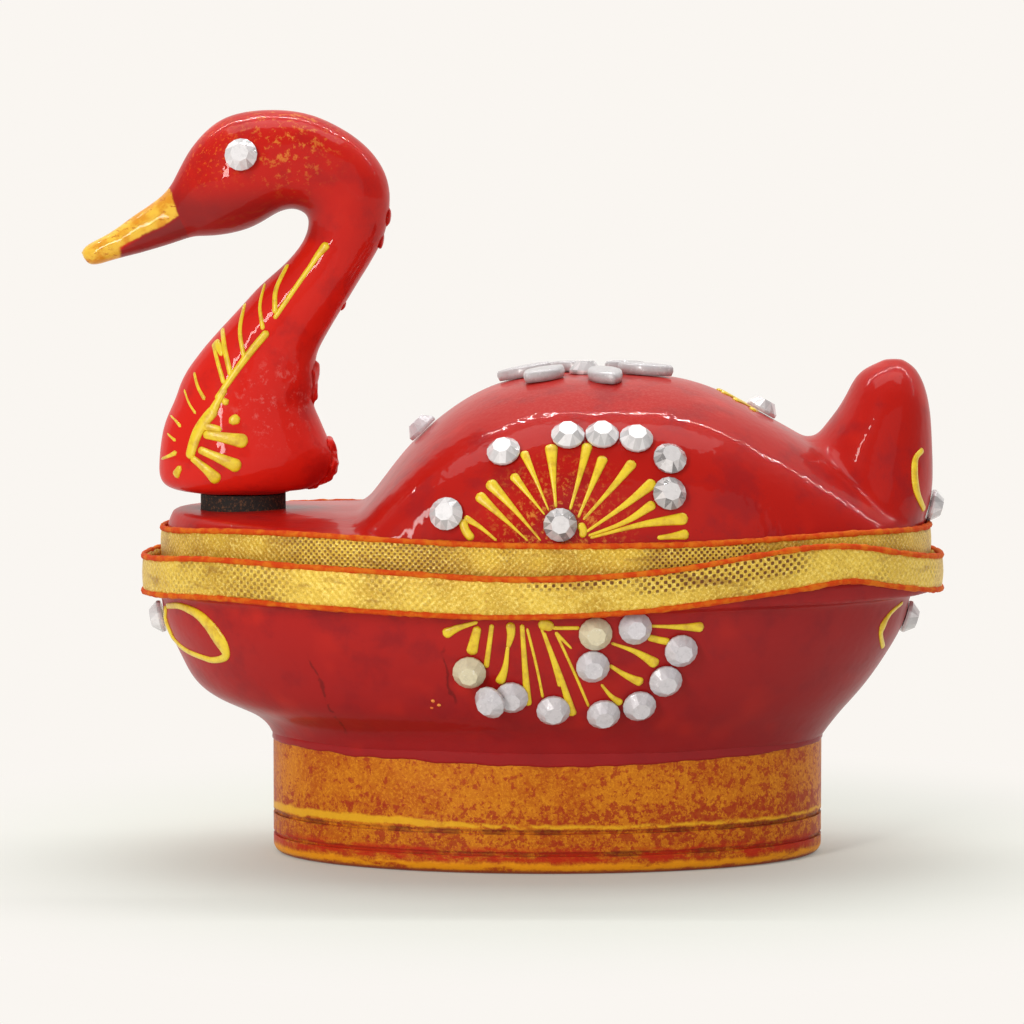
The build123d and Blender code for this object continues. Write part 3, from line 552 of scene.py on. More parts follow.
class Paint:
    """A material in the making. Its coordinates are the row frame's, in millimetres."""

    def __init__(self, name):
        self.material = bpy.data.materials.new(name)
        self.material.use_nodes = True
        self.tree = self.material.node_tree
        self.shader = self.tree.nodes["Principled BSDF"]
        self.colour = None
        place = self.node("TexCoord")
        scale = self.node("VectorMath", Vector=place.outputs["Object"])
        scale.operation = "SCALE"
        self.fill(scale, Scale=1.0 / MM)
        self.where = scale.outputs[0]
        self.x, self.y, self.z = self.split(self.where)
        self.uv = place.outputs["UV"]
        self.normal = place.outputs["Normal"]

    def put(self, value, socket):
        if isinstance(value, bpy.types.NodeSocket):
            self.tree.links.new(value, socket)
        else:
            socket.default_value = (*value, 1.0) if socket.type == "RGBA" else value

    def fill(self, node, **values):
        """Sets or links a node's inputs, with _ for each space in a name."""
        for name, value in values.items():
            self.put(value, node.inputs[name.replace("_", " ")])

    def node(self, kind, **values):
        node = self.tree.nodes.new("ShaderNode" + kind)
        self.fill(node, **values)
        return node

    def split(self, vector):
        return self.node("SeparateXYZ", Vector=vector).outputs

    def math(self, operation, first, second=0.0):
        node = self.node("Math")
        node.operation = operation
        self.put(first, node.inputs[0])
        self.put(second, node.inputs[1])
        return node.outputs[0]

    def both(self, *shares):
        """The product of shares."""
        value = shares[0]
        for share in shares[1:]:
            value = self.math("MULTIPLY", value, share)
        return value

    def mix(self, share, first, second):
        """Two colours mixed, on the node's colour sockets."""
        node = self.node("Mix")
        node.data_type = "RGBA"
        for value, place in ((share, 0), (first, 6), (second, 7)):
            self.put(value, node.inputs[place])
        return node.outputs[2]

    def step(self, value, low, high, share=1.0):
        """0 below low and the share above high, eased between them. Low may be the larger."""
        node = self.node("MapRange", Value=value, From_Min=min(low, high), From_Max=max(low, high))
        node.interpolation_type = "SMOOTHSTEP"
        before, after = (share, 0.0) if low > high else (0.0, share)
        self.fill(node, To_Min=before, To_Max=after)
        return node.outputs["Result"]

    def band(self, value, low, full, until, gone):
        """1 between two levels, eased in and out."""
        return self.both(self.step(value, low, full), self.step(value, gone, until))

    def noise(self, size, detail, roughness, stretch=None):
        """Noise whose features are about the given size in millimetres."""
        where = self.where
        if stretch:
            shaped = self.node("VectorMath", Vector=where)
            shaped.operation = "MULTIPLY"
            shaped.inputs[1].default_value = stretch
            where = shaped.outputs[0]
        node = self.node("TexNoise", Vector=where, Scale=1.0 / size, Detail=detail, Roughness=roughness)
        return node.outputs[0]

    def grain(self, name):
        """One of the named grain masks."""
        pattern, mask = GRAINS[name]
        return self.step(self.noise(*pattern), *mask)

    def wave(self, name):
        """One of the named wanderings, to either side of nothing."""
        *pattern, swing = WAVES[name]
        return self.both(self.math("SUBTRACT", self.noise(*pattern), 0.5), swing)

    def radius(self, first, second):
        square = self.math("ADD", self.both(first, first), self.both(second, second))
        return self.math("SQRT", square)

    def spot(self, x, z, inner, outer):
        """1 near a point of the side view, fading to 0."""
        run = self.math("SUBTRACT", self.x, x)
        return self.step(self.radius(run, self.math("SUBTRACT", self.z, z)), outer, inner)

    def line(self, x, z, across, up):
        """Distance from a slanted line of the side view."""
        run = self.both(self.math("SUBTRACT", self.x, x), across)
        return self.math("ADD", run, self.both(self.math("SUBTRACT", self.z, z), up))

    def outward(self):
        """1 where a surface faces away from the middle plane, 0 where it faces in."""
        return self.step(self.both(self.split(self.normal)[1], self.y), *OUTWARD_FADE)

    def lay(self, tint, *shares):
        """Lays a tint over a share of the colour so far."""
        self.colour = self.mix(self.both(*shares), self.colour, tint)

    def bump(self, height, strength, distance):
        """Adds to the unevenness so far."""
        node = self.node("Bump", Strength=strength, Distance=distance * MM, Height=height)
        if self.shader.inputs["Normal"].is_linked:
            self.fill(node, Normal=self.shader.inputs["Normal"].links[0].from_socket)
        self.fill(self.shader, Normal=node.outputs[0], Coat_Normal=node.outputs[0])

    def uneven(self, name):
        """The named unevenness of a finish."""
        for *pattern, strength, height in BUMPS[name]:
            self.bump(self.noise(*pattern), strength, height)

    def done(self, **finish):
        """The material, with its colour and finish set."""
        self.fill(self.shader, Base_Color=self.colour, **finish)
        return self.material


# Materials

def lacquer_base(word):
    """Glossy red enamel: darker patches, brighter clouds, orange peel, and reds blended by height as painted
    shade and light.
    """
    upper, lower, low, high, patchy, coat = LACQUERS[word]
    paint = Paint(word + "_red_lacquer")
    # Painted shade and light: the reds blend by height, darker low on the lid and bowl, partly their deeper
    # red, and lighter low on the neck.
    depth = paint.math("ADD", paint.z, paint.both(paint.noise(*CLOUD), CLOUD_SWING))
    paint.colour = paint.mix(paint.step(depth, low, high), lower, upper)
    paint.lay(DEEP_RED_AND_SHADE, paint.grain("patch"), patchy)
    paint.lay(GLOW_RED, paint.grain("glow"))
    paint.fill(paint.shader, Roughness=0.4, Specular_IOR_Level=0.05, Coat_Weight=coat, Coat_Roughness=0.03)
    paint.uneven("lacquer")
    return paint


def lid_lacquer():
    """Red lacquer with gold dust round the fan, and pale dust and painted sheen on top of the back."""
    paint = lacquer_base("lid")
    paint.lay(GOLD_DUST, paint.spot(*FAN_SPOT), paint.grain("fan_dust"), paint.outward())
    paint.lay(MAROON, paint.grain("lid_specks"))
    # Pale pink on the top of the back: partly dust, partly a painted sheen.
    high = paint.step(paint.z, *BACK_DUST_AND_SHEEN_HEIGHTS)
    ahead = paint.step(paint.x, *BACK_DUST_AND_SHEEN_REAR)
    paint.lay(DUST_AND_SHEEN_PINK, high, ahead, paint.grain("lid_dust_and_sheen"))
    return paint.done()


def bowl_lacquer():
    """Red lacquer with painted shade towards the rear, and fine cracks."""
    paint = lacquer_base("bowl")
    # Painted shade: the bowl grows darker towards the rear.
    paint.lay(BOWL_PAINTED_SHADE, paint.step(paint.x, *BOWL_PAINTED_SHADE_RUN))
    wander = paint.wave("crack")
    for x, z, lean, reach in BOWL_CRACKS:
        gap = paint.math("ADD", paint.line(x, z, 1.0, -lean), wander)
        thin = paint.step(paint.math("ABSOLUTE", gap), *CRACK_GAP)
        rise = paint.math("ABSOLUTE", paint.math("SUBTRACT", paint.z, z))
        ends = paint.step(rise, reach, reach - CRACK_FADE)
        paint.lay(CRACK_BLACK, thin, ends, paint.grain("crack"), paint.outward())
    return paint.done()


def neck_lacquer():
    """Red lacquer with gold dust on the head, painted shade under the throat, and the beak's yellow top and
    tip.
    """
    paint = lacquer_base("neck")
    paint.lay(GOLD_DUST, paint.spot(*HEAD_SPOT), paint.grain("head_dust"))
    paint.lay(ORANGE, paint.spot(*BROW_SPOT), paint.grain("brow_dust"))
    # Painted shade: dark maroon under the head, along the throat.
    throat_shade = paint.band(paint.z, *THROAT_SHADE_BAND)
    paint.lay(MAROON, throat_shade, paint.step(paint.x, *THROAT_SHADE_REAR))
    paint.lay(DUST_AND_SHEEN_PINK, paint.spot(*CHEST_SPOT), paint.grain("chest_bloom"))
    wobble = paint.wave("beak")
    above = paint.math("ADD", paint.line(*BEAK_LINE), wobble)
    ahead = paint.math("ADD", paint.line(*FACE_LINE), wobble)
    beak = paint.both(paint.step(ahead, *FACE_FADE), paint.step(paint.z, *BEAK_LOWEST))
    paint.lay(JAW_RED, beak, paint.step(above, *JAW_FADE))
    tip = paint.step(paint.math("ADD", paint.x, wobble), *BEAK_TIP)
    top = paint.math("MAXIMUM", paint.step(above, *BEAK_TOP_FADE), tip)
    gold = paint.mix(paint.grain("beak_tone"), BEAK_LIGHT, BEAK_DARK)
    gold = paint.mix(paint.grain("beak_scratch"), gold, BEAK_SCRATCH)
    paint.lay(gold, beak, top)
    return paint.done()


def foot_gold():
    """Worn gold paint: flecks, a brushed yellow line, painted shade in the turned grooves, red streaks, a
    bright rim and painted shade along the bottom edge.
    """
    paint = Paint("foot_gold_paint")
    paint.colour = paint.mix(paint.grain("foot_tone"), FOOT_LIGHT, FOOT_DARK)
    paint.lay(FOOT_GLINT, paint.grain("foot_glint"))
    denser = paint.math("ADD", paint.step(paint.x, *FOOT_WEAR_REAR), paint.step(paint.z, *FOOT_WEAR_LOW))
    denser = paint.math("ADD", denser, paint.band(paint.z, *FOOT_WEAR_BAND))
    denser = paint.both(denser, FOOT_WEAR_MORE)
    for size, *mask in FOOT_WEAR:
        wear = paint.math("ADD", paint.noise(size, *FOOT_WEAR_GRAIN), denser)
        paint.lay(FLECK, paint.step(wear, *mask))
    level = paint.math("ADD", paint.z, paint.wave("foot_drift"))
    level = paint.math("ADD", level, paint.wave("foot_shake"))
    thinned = paint.math("ADD", level, paint.step(paint.x, *YELLOW_THINS))
    brushed = paint.both(paint.step(level, *YELLOW_FROM), paint.step(thinned, *YELLOW_UNTIL))
    whole = paint.math("MAXIMUM", paint.step(paint.x, *YELLOW_BREAKS), paint.grain("foot_line"))
    paint.lay(LINE_YELLOW, brushed, whole)
    # Painted shade: dark lines in the turned grooves.
    for turned in FOOT_GROOVES:
        paint.lay(GROOVE_SHADE, paint.band(paint.z, *turned), paint.grain("foot_groove_shade"))
    paint.lay(RIM_ORANGE, paint.band(level, *FOOT_RIM), paint.grain("foot_rim"))
    paint.lay(STREAK_RED, paint.band(level, *FOOT_STREAK), paint.grain("foot_streak"))
    # Painted shade along the bottom edge and underside of the foot.
    paint.lay(FOOT_BOTTOM_SHADE, paint.step(paint.z, *FOOT_BOTTOM_SHADE_FADE))
    paint.uneven("foot")
    return paint.done(Metallic=0.1, Roughness=0.42, Specular_IOR_Level=0.15)


def two_tone(name, look, light, dark, **finish):
    """A paint, thread or rubber in two tones, a little uneven."""
    paint = Paint(name)
    paint.colour = paint.mix(paint.grain(look), light, dark)
    paint.uneven(look)
    return paint.done(**finish)


def lace(word):
    """Gold lace: glittering grain, brown smears, and rows of dark holes where the gilding has worn."""
    pitch, light, dull, *stretches = LACES[word]
    paint = Paint(word + "_lace")
    along, across = paint.split(paint.uv)[:2]
    weave = paint.both(*(paint.math("SINE", paint.both(run, 2 * pi / pitch)) for run in (along, across)))
    paint.colour = paint.mix(paint.grain("lace_tone"), light, dull)
    glitter = paint.noise(*GLITTER)
    paint.lay(LACE_GLITTER, paint.step(glitter, *GLITTER_BRIGHT))
    paint.lay(LACE_SHADE, paint.step(glitter, *GLITTER_DULL))
    paint.lay(LACE_SMEAR, paint.grain("lace_smear"))
    worn = paint.grain("lace_wear")
    before, after = WEAR_FADE
    for x, inner, outer, low, share in stretches:
        gap = paint.math("ABSOLUTE", paint.math("SUBTRACT", paint.x, x))
        zone = paint.both(paint.step(gap, outer, inner, share), paint.step(across, low - before, low + after))
        worn = paint.math("MAXIMUM", worn, zone)
    holes = paint.math("ADD", weave, paint.wave("lace"))
    paint.lay(LACE_HOLE, paint.step(holes, *HOLE_FADE), worn)
    paint.bump(weave, *WEAVE_BUMP)
    paint.bump(glitter, *GLITTER_BUMP)
    return paint.done(Metallic=0.15, Roughness=0.4, Specular_IOR_Level=0.3)


def screw_steel():
    """Zinc-plated steel with fine turning marks."""
    paint = Paint("screw_zinc_steel")
    tone = paint.noise(*STEEL_TURNING)
    paint.colour = paint.mix(tone, STEEL_DARK, STEEL_LIGHT)
    paint.bump(tone, *STEEL_BUMP)
    return paint.done(Metallic=1.0, Roughness=0.34)


def shaded(tint, share):
    """A share of a colour."""
    return tuple(part * share for part in tint)


def crystal(name, tint, roughness, contrast, cloudy):
    """Foil-backed glass: each facet has its own brightness as a painted reflection, with specks and clouds in
    it.
    """
    paint = Paint(name)
    facet = paint.node("Attribute")
    facet.attribute_name = "facet"
    paint.colour = paint.mix(facet.outputs["Fac"], shaded(tint, 1.0 - contrast), tint)
    paint.lay(shaded(tint, STONE_DULL), paint.grain("stone_cloud"), cloudy)
    paint.lay(STONE_GLINT, paint.grain("stone_glint"), cloudy)
    paint.uneven("stone")
    return paint.done(Metallic=0.1, Roughness=roughness, Coat_Weight=0.5, Coat_Roughness=0.06)


def floor_paper():
    """Pale paper that carries a soft shadow near the box and is evenly lit further off."""
    paint = Paint("floor_paper")
    far = paint.step(paint.radius(paint.x, paint.y), FLOOR_NEAR, FLOOR_FAR)
    paint.colour = paint.mix(far, FLOOR_PAPER, BLACK)
    glow = paint.mix(far, FLOOR_NEAR_GLOW, FLOOR_GLOW)
    return paint.done(Roughness=1.0, Specular_IOR_Level=0.0, Emission_Color=glow, Emission_Strength=1.0)


# Carved pieces

def softened(name, rough_mesh, voxel, rounds):
    """A mesh remade in even voxels and smoothed."""
    rough = add_object(name + "_rough", rough_mesh)
    even = rough.modifiers.new("even", "REMESH")
    even.mode = "VOXEL"
    even.voxel_size = voxel * MM
    soft = rough.modifiers.new("soft", "SMOOTH")
    soft.factor = 0.5
    soft.iterations = rounds
    bpy.context.view_layer.update()
    shaped = rough.evaluated_get(bpy.context.evaluated_depsgraph_get())
    mesh = bpy.data.meshes.new_from_object(shaped)
    mesh.name = name
    mesh.polygons.foreach_set("use_smooth", [True] * len(mesh.polygons))
    bpy.data.objects.remove(rough)
    return mesh


def carved(node, material, body):
    """A softened copy of a node, with the slight lumps of hand carving."""
    voxel, rounds, lump, size = CARVING[node]
    mesh = softened(node + "_carved", nodes[node].data.copy(), voxel, rounds)
    count = len(mesh.vertices)
    places = np.empty(count * 3)
    normals = np.empty(count * 3)
    mesh.vertices.foreach_get("co", places)
    mesh.vertices.foreach_get("normal", normals)
    places = places.reshape(-1, 3)
    swell = np.array([noise.noise(Vector(place) / (size * MM)) for place in places])
    places += normals.reshape(-1, 3) * swell[:, None] * lump * MM
    mesh.vertices.foreach_set("co", places.ravel())
    mesh.update()
    return new_piece(node + "_carved", mesh, material, body, stands_for=(node,))


# Ribbons

def ribbon(node, body, low, high, material, edge_material):
    """A gold lace ribbon glued round an oval edge, with a thread along each side."""
    lowest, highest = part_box(node)
    centre = (lowest.x + highest.x) / 2 / MM
    half_length, half_width = [half / MM - RIBBON_THICKNESS for half in ((highest - lowest) / 2).xy]
    bm = bmesh.new()
    uv = bm.loops.layers.uv.new("weave")
    where = {}
    rings = []
    edges = ([], [])
    arc = 0.0
    last = None
    for turn in range(RIBBON_STEPS):
        angle = 2 * pi * turn / RIBBON_STEPS
        out = Vector((cos(angle) / half_length, sin(angle) / half_width, 0.0)).normalized()
        rim = Vector((centre + half_length * cos(angle), half_width * sin(angle), 0.0))
        arc += (rim - last).length if last else 0.0
        last = rim
        bottom = course(low, rim.x)
        top = course(high, rim.x)
        front, back = [], []
        for row in range(RIBBON_ROWS):
            share = row / (RIBBON_ROWS - 1)
            height = bottom + share * (top - bottom)
            swell = RIBBON_PUFF * (1 - (2 * share - 1) ** 2)
            grain = Vector((rim.x * RIPPLE_ROUND, rim.y * RIPPLE_ROUND, height * RIPPLE_UP))
            face = rim + out * (RIBBON_THICKNESS + swell + RIBBON_RIPPLE * noise.noise(grain))
            for line, place in ((front, face), (back, rim)):
                line.append(bm.verts.new(Vector((place.x, place.y, height)) * MM))
                where[line[-1]] = (arc, height - bottom)
        rings.append(front + back[::-1])
        for edge, height in zip(edges, (bottom, top)):
            place = rim + out * RIBBON_THICKNESS * THREAD_OUT
            edge.append(Vector((place.x, place.y, height)))
    join_rings(bm, rings, closed=True)
    for face in bm.faces:
        for loop in face.loops:
            loop[uv].uv = where[loop.vert]
    new_piece(node + "_band", mesh_of(node + "_band", bm), material, body, (node,))
    for word, edge in zip(("low", "high"), edges):
        name = node + "_" + word + "_thread"
        new_piece(name, thread_mesh(name, edge), edge_material, body)


def thread_mesh(name, points):
    """A closed tube along a ring of points, a little uneven."""
    bm = bmesh.new()
    rings = []
    count = len(points)
    for place, point in enumerate(points):
        along = (points[(place + 1) % count] - points[place - 1]).normalized()
        out = along.cross(Vector((0.0, 0.0, 1.0))).normalized()
        up = out.cross(along)
        radius = RIBBON_CORD * (1.0 + THREAD_UNEVEN * noise.noise(point * THREAD_GRAIN))
        ring = []
        for side in range(THREAD_SIDES):
            angle = 2 * pi * side / THREAD_SIDES
            ring.append(bm.verts.new((point + (out * cos(angle) + up * sin(angle)) * radius) * MM))
        rings.append(ring)
    join_rings(bm, rings, closed=True)
    return mesh_of(name, bm)


# Painted joint and strokes

def joint_skirt(material):
    """Red paint over the joint between the bowl and the foot, with an uneven lower edge."""
    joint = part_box("bowl")[0].z / MM
    half_length, half_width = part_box("foot")[1].xy / MM
    bm = bmesh.new()
    rings = []
    for turn in range(RIBBON_STEPS):
        angle = 2 * pi * turn / RIBBON_STEPS
        out = Vector((cos(angle) / half_length, sin(angle) / half_width, 0.0)).normalized()
        rim = Vector((half_length * cos(angle), half_width * sin(angle), 0.0))
        wave = noise.noise(rim * SKIRT_LONG) + SKIRT_FINE_SHARE * noise.noise(rim * SKIRT_FINE)
        bottom = course(SKIRT_LOW, rim.x) + SKIRT_WAVE * wave
        ring = []
        for lift, stand in SKIRT_SECTION:
            height = bottom + lift if lift <= SKIRT_BEAD else joint + lift
            place = rim + out * stand
            ring.append(bm.verts.new(Vector((place.x, place.y, height)) * MM))
        rings.append(ring)
    join_rings(bm, rings, closed=True)
    new_piece("joint_paint", mesh_of("joint_paint", bm), material, "base")


def seats_by_pixel(surface, path, widths, mirror):
    """Where a path of pixels meets a surface: point, normal, half width and slant, near or far side."""
    seats = []
    for pixel, width in zip(path, widths):
        point, normal, index, distance = surface.ray_cast(EYE, pixel_aim(*pixel))
        if point is None:
            continue
        half = width * VIEW_WIDTH / IMAGE_SIZE * distance / CAMERA_DISTANCE / 2
        slant = abs(normal.dot((point - EYE).normalized()))
        if mirror:
            point, normal, index, distance = surface.find_nearest(Vector((point.x, -point.y, point.z)))
        seats.append((point, normal, half, slant))
    return seats


def lay_stroke(bm, surface, seats):
    """Adds one raised stroke along its seats."""
    if len(seats) < 3:
        return
    runs = [0.0]
    for first, second in zip(seats, seats[1:]):
        runs.append(runs[-1] + (second[0] - first[0]).length)
    rows = []
    for place, (point, normal, half, slant) in enumerate(seats):
        before = seats[max(place - 1, 0)][0]
        after = seats[min(place + 1, len(seats) - 1)][0]
        along = (after - before).normalized()
        side = normal.cross(along).normalized()
        turned = side.dot((point - EYE).normalized())
        half /= max(STROKE_NARROWEST, sqrt(1.0 - turned * turned)) if slant < 1.0 else 1.0
        nearest_end = min(runs[place], runs[-1] - runs[place])
        round_end = sqrt(max(STROKE_END, 1.0 - max(0.0, 1.0 - nearest_end / half) ** 2))
        reach = half * round_end
        rise = min(STROKE_HEIGHT * MM, half * STROKE_FULLNESS) * round_end
        row = []
        for share, lift in STROKE_SECTION:
            spot, up, index, gap = surface.find_nearest(point + side * reach * share)
            row.append(bm.verts.new(spot + normal * (rise * lift - STROKE_SINK * MM * (lift == 0.0))))
        rows.append(row)
    join_rings(bm, rows)
    bm.faces.new(rows[0])
    bm.faces.new(tuple(reversed(rows[-1])))


def paint_sides(name, lines, surface, body, material):
    """A piece of raised paint on each side, along lines of pixels and widths."""
    for word, mirror in (("near", False), ("far", True)):
        bm = bmesh.new()
        for path, widths in lines:
            lay_stroke(bm, surface, seats_by_pixel(surface, path, widths, mirror))
        full_name = name + "_" + word
        new_piece(full_name, mesh_of(full_name, bm), material, body)


def paint_strokes(name, strokes, *seat):
    """Strokes that swell towards their ends, like drops of paint."""
    lines = []
    for start, end, *points in strokes:
        path = smooth_path(points, STROKE_STEP)
        last = len(path) - 1
        widths = [start + (end - start) * (place / last) ** STROKE_SWELL for place in range(last + 1)]
        lines.append((path, widths))
    paint_sides(name, lines, *seat)


def paint_loop(name, points, widths, *seat):
    """A closed loop of paint."""
    path = smooth_path(points, STROKE_STEP)
    places = np.linspace(0.0, len(widths) - 1.0, len(path))
    paint_sides(name, [(path, list(np.interp(places, range(len(widths)), widths)))], *seat)


def back_fan(surface, material):
    """Short strokes that fan out forward from the stone on the rear slope of the back."""
    lowest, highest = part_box("back_rear_stone")
    middle = (lowest + highest) / 2
    bm = bmesh.new()
    for turn in BACK_FAN_TURNS:
        away = Vector((cos(radians(turn)), sin(radians(turn)), 0.0))
        seats = []
        for place in range(BACK_FAN_STEPS):
            share = place / (BACK_FAN_STEPS - 1)
            start = middle + away * (BACK_FAN_START + share * BACK_FAN_LENGTH) * MM
            start.z = cad_box[1].z
            point, normal, index, gap = surface.ray_cast(start, Vector((0.0, 0.0, -1.0)))
            half = (BACK_FAN_WIDTHS[0] + share * (BACK_FAN_WIDTHS[1] - BACK_FAN_WIDTHS[0])) / 2 * MM
            seats.append((point, normal, half, 1.0))
        lay_stroke(bm, surface, seats)
    new_piece("back_fan_paint", mesh_of("back_fan_paint", bm), material, "lid")


def neck_lumps(surface, material):
    """Lumps of thick red paint down the back of the neck, run together."""
    bm = bmesh.new()
    for x, z, radius, reach in NECK_LUMPS:
        point, normal, index, gap = surface.find_nearest(Vector((x, 0.0, z)) * MM)
        ball = bmesh.ops.create_icosphere(bm, subdivisions=3, radius=radius * MM)
        for vert in ball["verts"]:
            uneven = 1.0 + LUMP_UNEVEN * noise.noise(vert.co / (LUMP_GRAIN * MM) + Vector((x, z, 0.0)))
            shaped = Vector((vert.co.x, vert.co.y * LUMP_SPREAD, vert.co.z * reach)) * uneven
            shaped -= normal * shaped.dot(normal) * (1.0 - LUMP_FLAT)
            vert.co = point + shaped - normal * radius * LUMP_SINK * MM
    mesh = softened("neck_paint_lumps", mesh_of("neck_paint_lumps", bm), LUMP_VOXEL, LUMP_ROUNDS)
    new_piece("neck_paint_lumps", mesh, material, "neck")


# Stones

def stone_seats(node):
    """Foot and axis of each stone in a node."""
    bm = bmesh.new()
    bm.from_mesh(nodes[node].data)
    bmesh.ops.remove_doubles(bm, verts=bm.verts, dist=SAME_POINT)
    waiting = set(bm.verts)
    seats = []
    while waiting:
        group = [waiting.pop()]
        for vert in group:
            for edge in vert.link_edges:
                other = edge.other_vert(vert)
                if other in waiting:
                    waiting.remove(other)
                    group.append(other)
        points = np.array([tuple(vert.co) for vert in group])
        middle = points.mean(axis=0)
        axis = np.linalg.svd(points - middle)[2][2]
        heights = (points - middle) @ axis
        radii = np.linalg.norm(points - middle - np.outer(heights, axis), axis=1)
        reach = np.ptp(heights) * STONE_END_SHARE
        top_radius = radii[heights > heights.max() - reach].max()
        foot_radius = radii[heights < heights.min() + reach].max()
        if top_radius > foot_radius:
            axis = -axis
            heights = -heights
        foot = middle + axis * heights.min()
        seats.append((Vector(foot), Vector(axis)))
    bm.free()
    return sorted(seats, key=lambda seat: tuple(seat[0]))


def add_stone(bm, seat, facet_layer, rng):
    """Adds one flat-back stone with cut facets to a bmesh."""
    foot, up = seat
    side = up.orthogonal().normalized()
    other = up.cross(side)
    spin = rng.uniform(0.0, 2 * pi)
    steps = 2 * FACETS

    def ring_of(count, radius, height):
        corners = []
        for k in range(count):
            angle = 2 * pi * k / count + spin
            flat = side * cos(angle) + other * sin(angle)
            place = flat * radius * STONE_RADIUS + up * height * STONE_HEIGHT
            corners.append(bm.verts.new(foot + place * MM))
        return corners

    low = ring_of(steps, FOOT_SHARE, 0.0)
    middle = ring_of(steps, 1.0, 0.5 * GIRDLE_SHARE)
    girdle = ring_of(steps, 1.0, GIRDLE_SHARE)
    table = ring_of(FACETS, TABLE_SHARE, 1.0)
    faces = join_rings(bm, [low, middle, girdle])
    faces.append(bm.faces.new(tuple(reversed(low))))
    for k in range(FACETS):
        left, point = girdle[2 * k:2 * k + 2]
        right = girdle[(2 * k + 2) % steps]
        after = table[(k + 1) % FACETS]
        for corners in ((left, point, table[k]), (table[k], point, after), (point, right, after)):
            faces.append(bm.faces.new(corners))
    # Painted reflections: each facet gets its own brightness, and the table the most, as a painted highlight.
    for face in faces:
        face[facet_layer] = rng.uniform(0.0, 1.0)
    bm.faces.new(table)[facet_layer] = rng.uniform(TABLE_HIGHLIGHT_LEAST, 1.0)


def add_petal(bm, seat, centre, facet_layer, rng):
    """Adds one leaf-shaped stone that points away from the middle of the rosette."""
    foot, up = seat
    outward = foot - centre
    outward = (outward - up * outward.dot(up)).normalized()
    across = up.cross(outward)
    rings = []
    for share, height in PETAL_SECTION:
        ring = []
        for k in range(PETAL_STEPS):
            angle = 2 * pi * k / PETAL_STEPS
            reach = cos(angle) * PETAL_LENGTH / 2
            spread = sin(angle) * abs(sin(angle)) ** PETAL_POINT * PETAL_WIDTH / 2
            flat = (outward * reach + across * spread) * share
            ring.append(bm.verts.new(foot + (flat + up * height * PETAL_HEIGHT) * MM))
        rings.append(ring)
    faces = [bm.faces.new(tuple(reversed(rings[0]))), bm.faces.new(rings[-1])]
    faces += join_rings(bm, rings)
    level = rng.uniform(PETAL_LEAST, 1.0)
    for face in faces:
        face[facet_layer] = level


def stones(node, body, materials):
    """Detailed stones in place of a node's plain ones, one piece for each look."""
    seats = stone_seats(node)
    centre = sum((seat[0] for seat in seats), Vector()) / len(seats)
    groups = {}
    for seat in seats:
        seen = Vector((seat[0].x, -abs(seat[0].y), seat[0].z))
        place = Vector(pixel_of(seen))
        look = "frosted" if node in FROSTED_NODES else "bright"
        for picked, spots in PICKED_STONES.items():
            if any((place - Vector(spot)).length < NEAR_STONE for spot in spots):
                look = picked
        if node == PETAL_NODE:
            look = "petal"
        groups.setdefault(look, []).append(seat)
    rng = random.Random(node)
    for look, members in groups.items():
        bm = bmesh.new()
        layer = bm.faces.layers.float.new("facet")
        for seat in members:
            if node == PETAL_NODE:
                add_petal(bm, seat, centre, layer, rng)
            else:
                add_stone(bm, seat, layer, rng)
        name = node + "_" + look
        stands_for = (node,) if look == list(groups)[0] else ()
        mesh = mesh_of(name, bm, smooth=look == "petal")
        new_piece(name, mesh, materials[look], body, stands_for)


# Stage, lights and camera

def area_light(name, place, length, height, power, aim, colour):
    """A soft rectangular light that faces a point, its length along x."""
    lamp = bpy.data.lights.new(name, "AREA")
    lamp.shape = "RECTANGLE"
    lamp.size = length
    lamp.size_y = height
    lamp.energy = power
    lamp.color = colour
    light = add_object(name, lamp)
    back = (Vector(place) - Vector(aim)).normalized()
    along = (RIGHTWARD - back * RIGHTWARD.dot(back)).normalized()
    turn = Matrix((along, back.cross(along), back)).transposed()
    light.location = place
    light.rotation_euler = turn.to_euler()


def studio():
    """A pale sweep, white surroundings and soft lights."""
    bm = bmesh.new()
    profile = [(SWEEP_FRONT, 0.0), (SWEEP_BACK, 0.0)]
    for turn in range(10, 91, 10):
        angle = radians(turn)
        profile.append((SWEEP_BACK + SWEEP_BEND * sin(angle), SWEEP_BEND * (1 - cos(angle))))
    profile.append((SWEEP_BACK + SWEEP_BEND, SWEEP_TOP))
    columns = [[bm.verts.new((x, y, z)) for y, z in profile] for x in (-SWEEP_HALF, SWEEP_HALF)]
    for place in range(len(profile) - 1):
        left, right = columns
        bm.faces.new((left[place], right[place], right[place + 1], left[place + 1]))
    sweep = add_object("sweep", mesh_of("sweep", bm))
    sweep.data.materials.append(floor_paper())
    world = bpy.data.worlds.new("studio")
    bpy.context.scene.world = world
    world.use_nodes = True
    backdrop = world.node_tree.nodes["Background"]
    backdrop.inputs["Color"].default_value = (*SURROUND, 1.0)
    backdrop.inputs["Strength"].default_value = SURROUND_STRENGTH
    for name, settings in LIGHTS.items():
        area_light(name, *settings)


def photo_camera():
    """The camera at the photograph's viewing angle."""
    data = bpy.data.cameras.new("photo_camera")
    data.sensor_width = SENSOR_WIDTH
    data.lens = SENSOR_WIDTH * CAMERA_DISTANCE / VIEW_WIDTH
    data.clip_start = NEAR_CLIP
    camera = add_object("photo_camera", data)
    camera.location = EYE
    camera.rotation_euler = FORWARD.to_track_quat("-Z", "Y").to_euler()
    bpy.context.scene.camera = camera


# The whole model

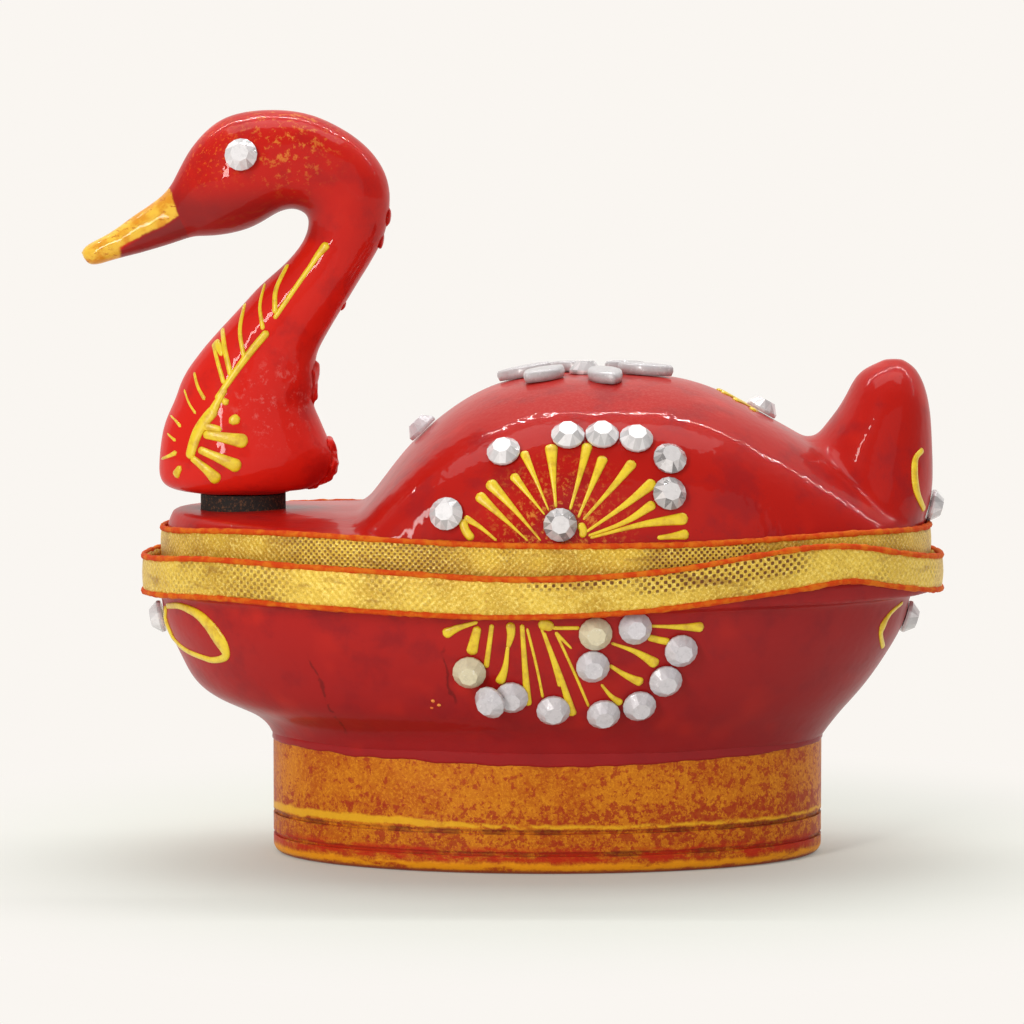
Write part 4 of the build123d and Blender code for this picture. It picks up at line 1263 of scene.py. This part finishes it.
photo_camera()
studio()
yellow = two_tone("stroke_yellow_paint", "stroke", YELLOW, YELLOW_DARK, **STROKE_FINISH)
orange = two_tone("speck_orange_paint", "stroke", ORANGE, GOLD_DUST, **STROKE_FINISH)
neck_red = neck_lacquer()
lid_piece = carved("lid", lid_lacquer(), "lid")
bowl_red = bowl_lacquer()
bowl_piece = carved("bowl", bowl_red, "base")
joint_skirt(bowl_red)
neck_piece = carved("neck_and_head", neck_red, "neck")
washer = two_tone("washer_speckle", "washer", WASHER_BLACK, WASHER_BROWN, Roughness=0.8)
for node, finish in (("foot", foot_gold()), ("neck_washer", washer), ("neck_screw", screw_steel())):
    nodes[node].data.materials.clear()
    nodes[node].data.materials.append(finish)

thread = two_tone("lace_edge_thread", "thread", THREAD_RED, THREAD_ORANGE, **THREAD_FINISH)
ribbon("lid_ribbon", "lid", LID_RIBBON_LOW, LID_RIBBON_HIGH, lace("lid"), thread)
ribbon("bowl_ribbon", "base", BOWL_RIBBON_LOW, BOWL_RIBBON_HIGH, lace("bowl"), thread)

lid_surface = surface_of(lid_piece)
bowl_surface = surface_of(bowl_piece)
neck_surface = surface_of(neck_piece)
paint_strokes("lid_fan_paint", LID_FAN_STROKES, lid_surface, "lid", yellow)
back_fan(lid_surface, yellow)
paint_strokes("tail_paint", TAIL_STROKES, lid_surface, "lid", yellow)
paint_strokes("bowl_fan_paint", BOWL_FAN_STROKES, bowl_surface, "base", yellow)
paint_strokes("bowl_rear_paint", BOWL_REAR_STROKES, bowl_surface, "base", yellow)
paint_strokes("bowl_specks", ORANGE_SPECKS, bowl_surface, "base", orange)
paint_loop("bowl_front_paint", BOWL_FRONT_LOOP, BOWL_FRONT_LOOP_WIDTHS, bowl_surface, "base", yellow)
paint_strokes("neck_vine_paint", NECK_VINE_STROKES, neck_surface, "neck", yellow)
neck_lumps(neck_surface, neck_red)

stone_looks = {look: crystal(look + "_crystal", *settings) for look, settings in STONE_LOOKS.items()}
for body, members in frame["record"]["behaviour"]["bodies"].items():
    for member in members:
        if "stone" in member:
            stones(member, body, stone_looks)

bpy.context.scene.view_settings.view_transform = "Standard"
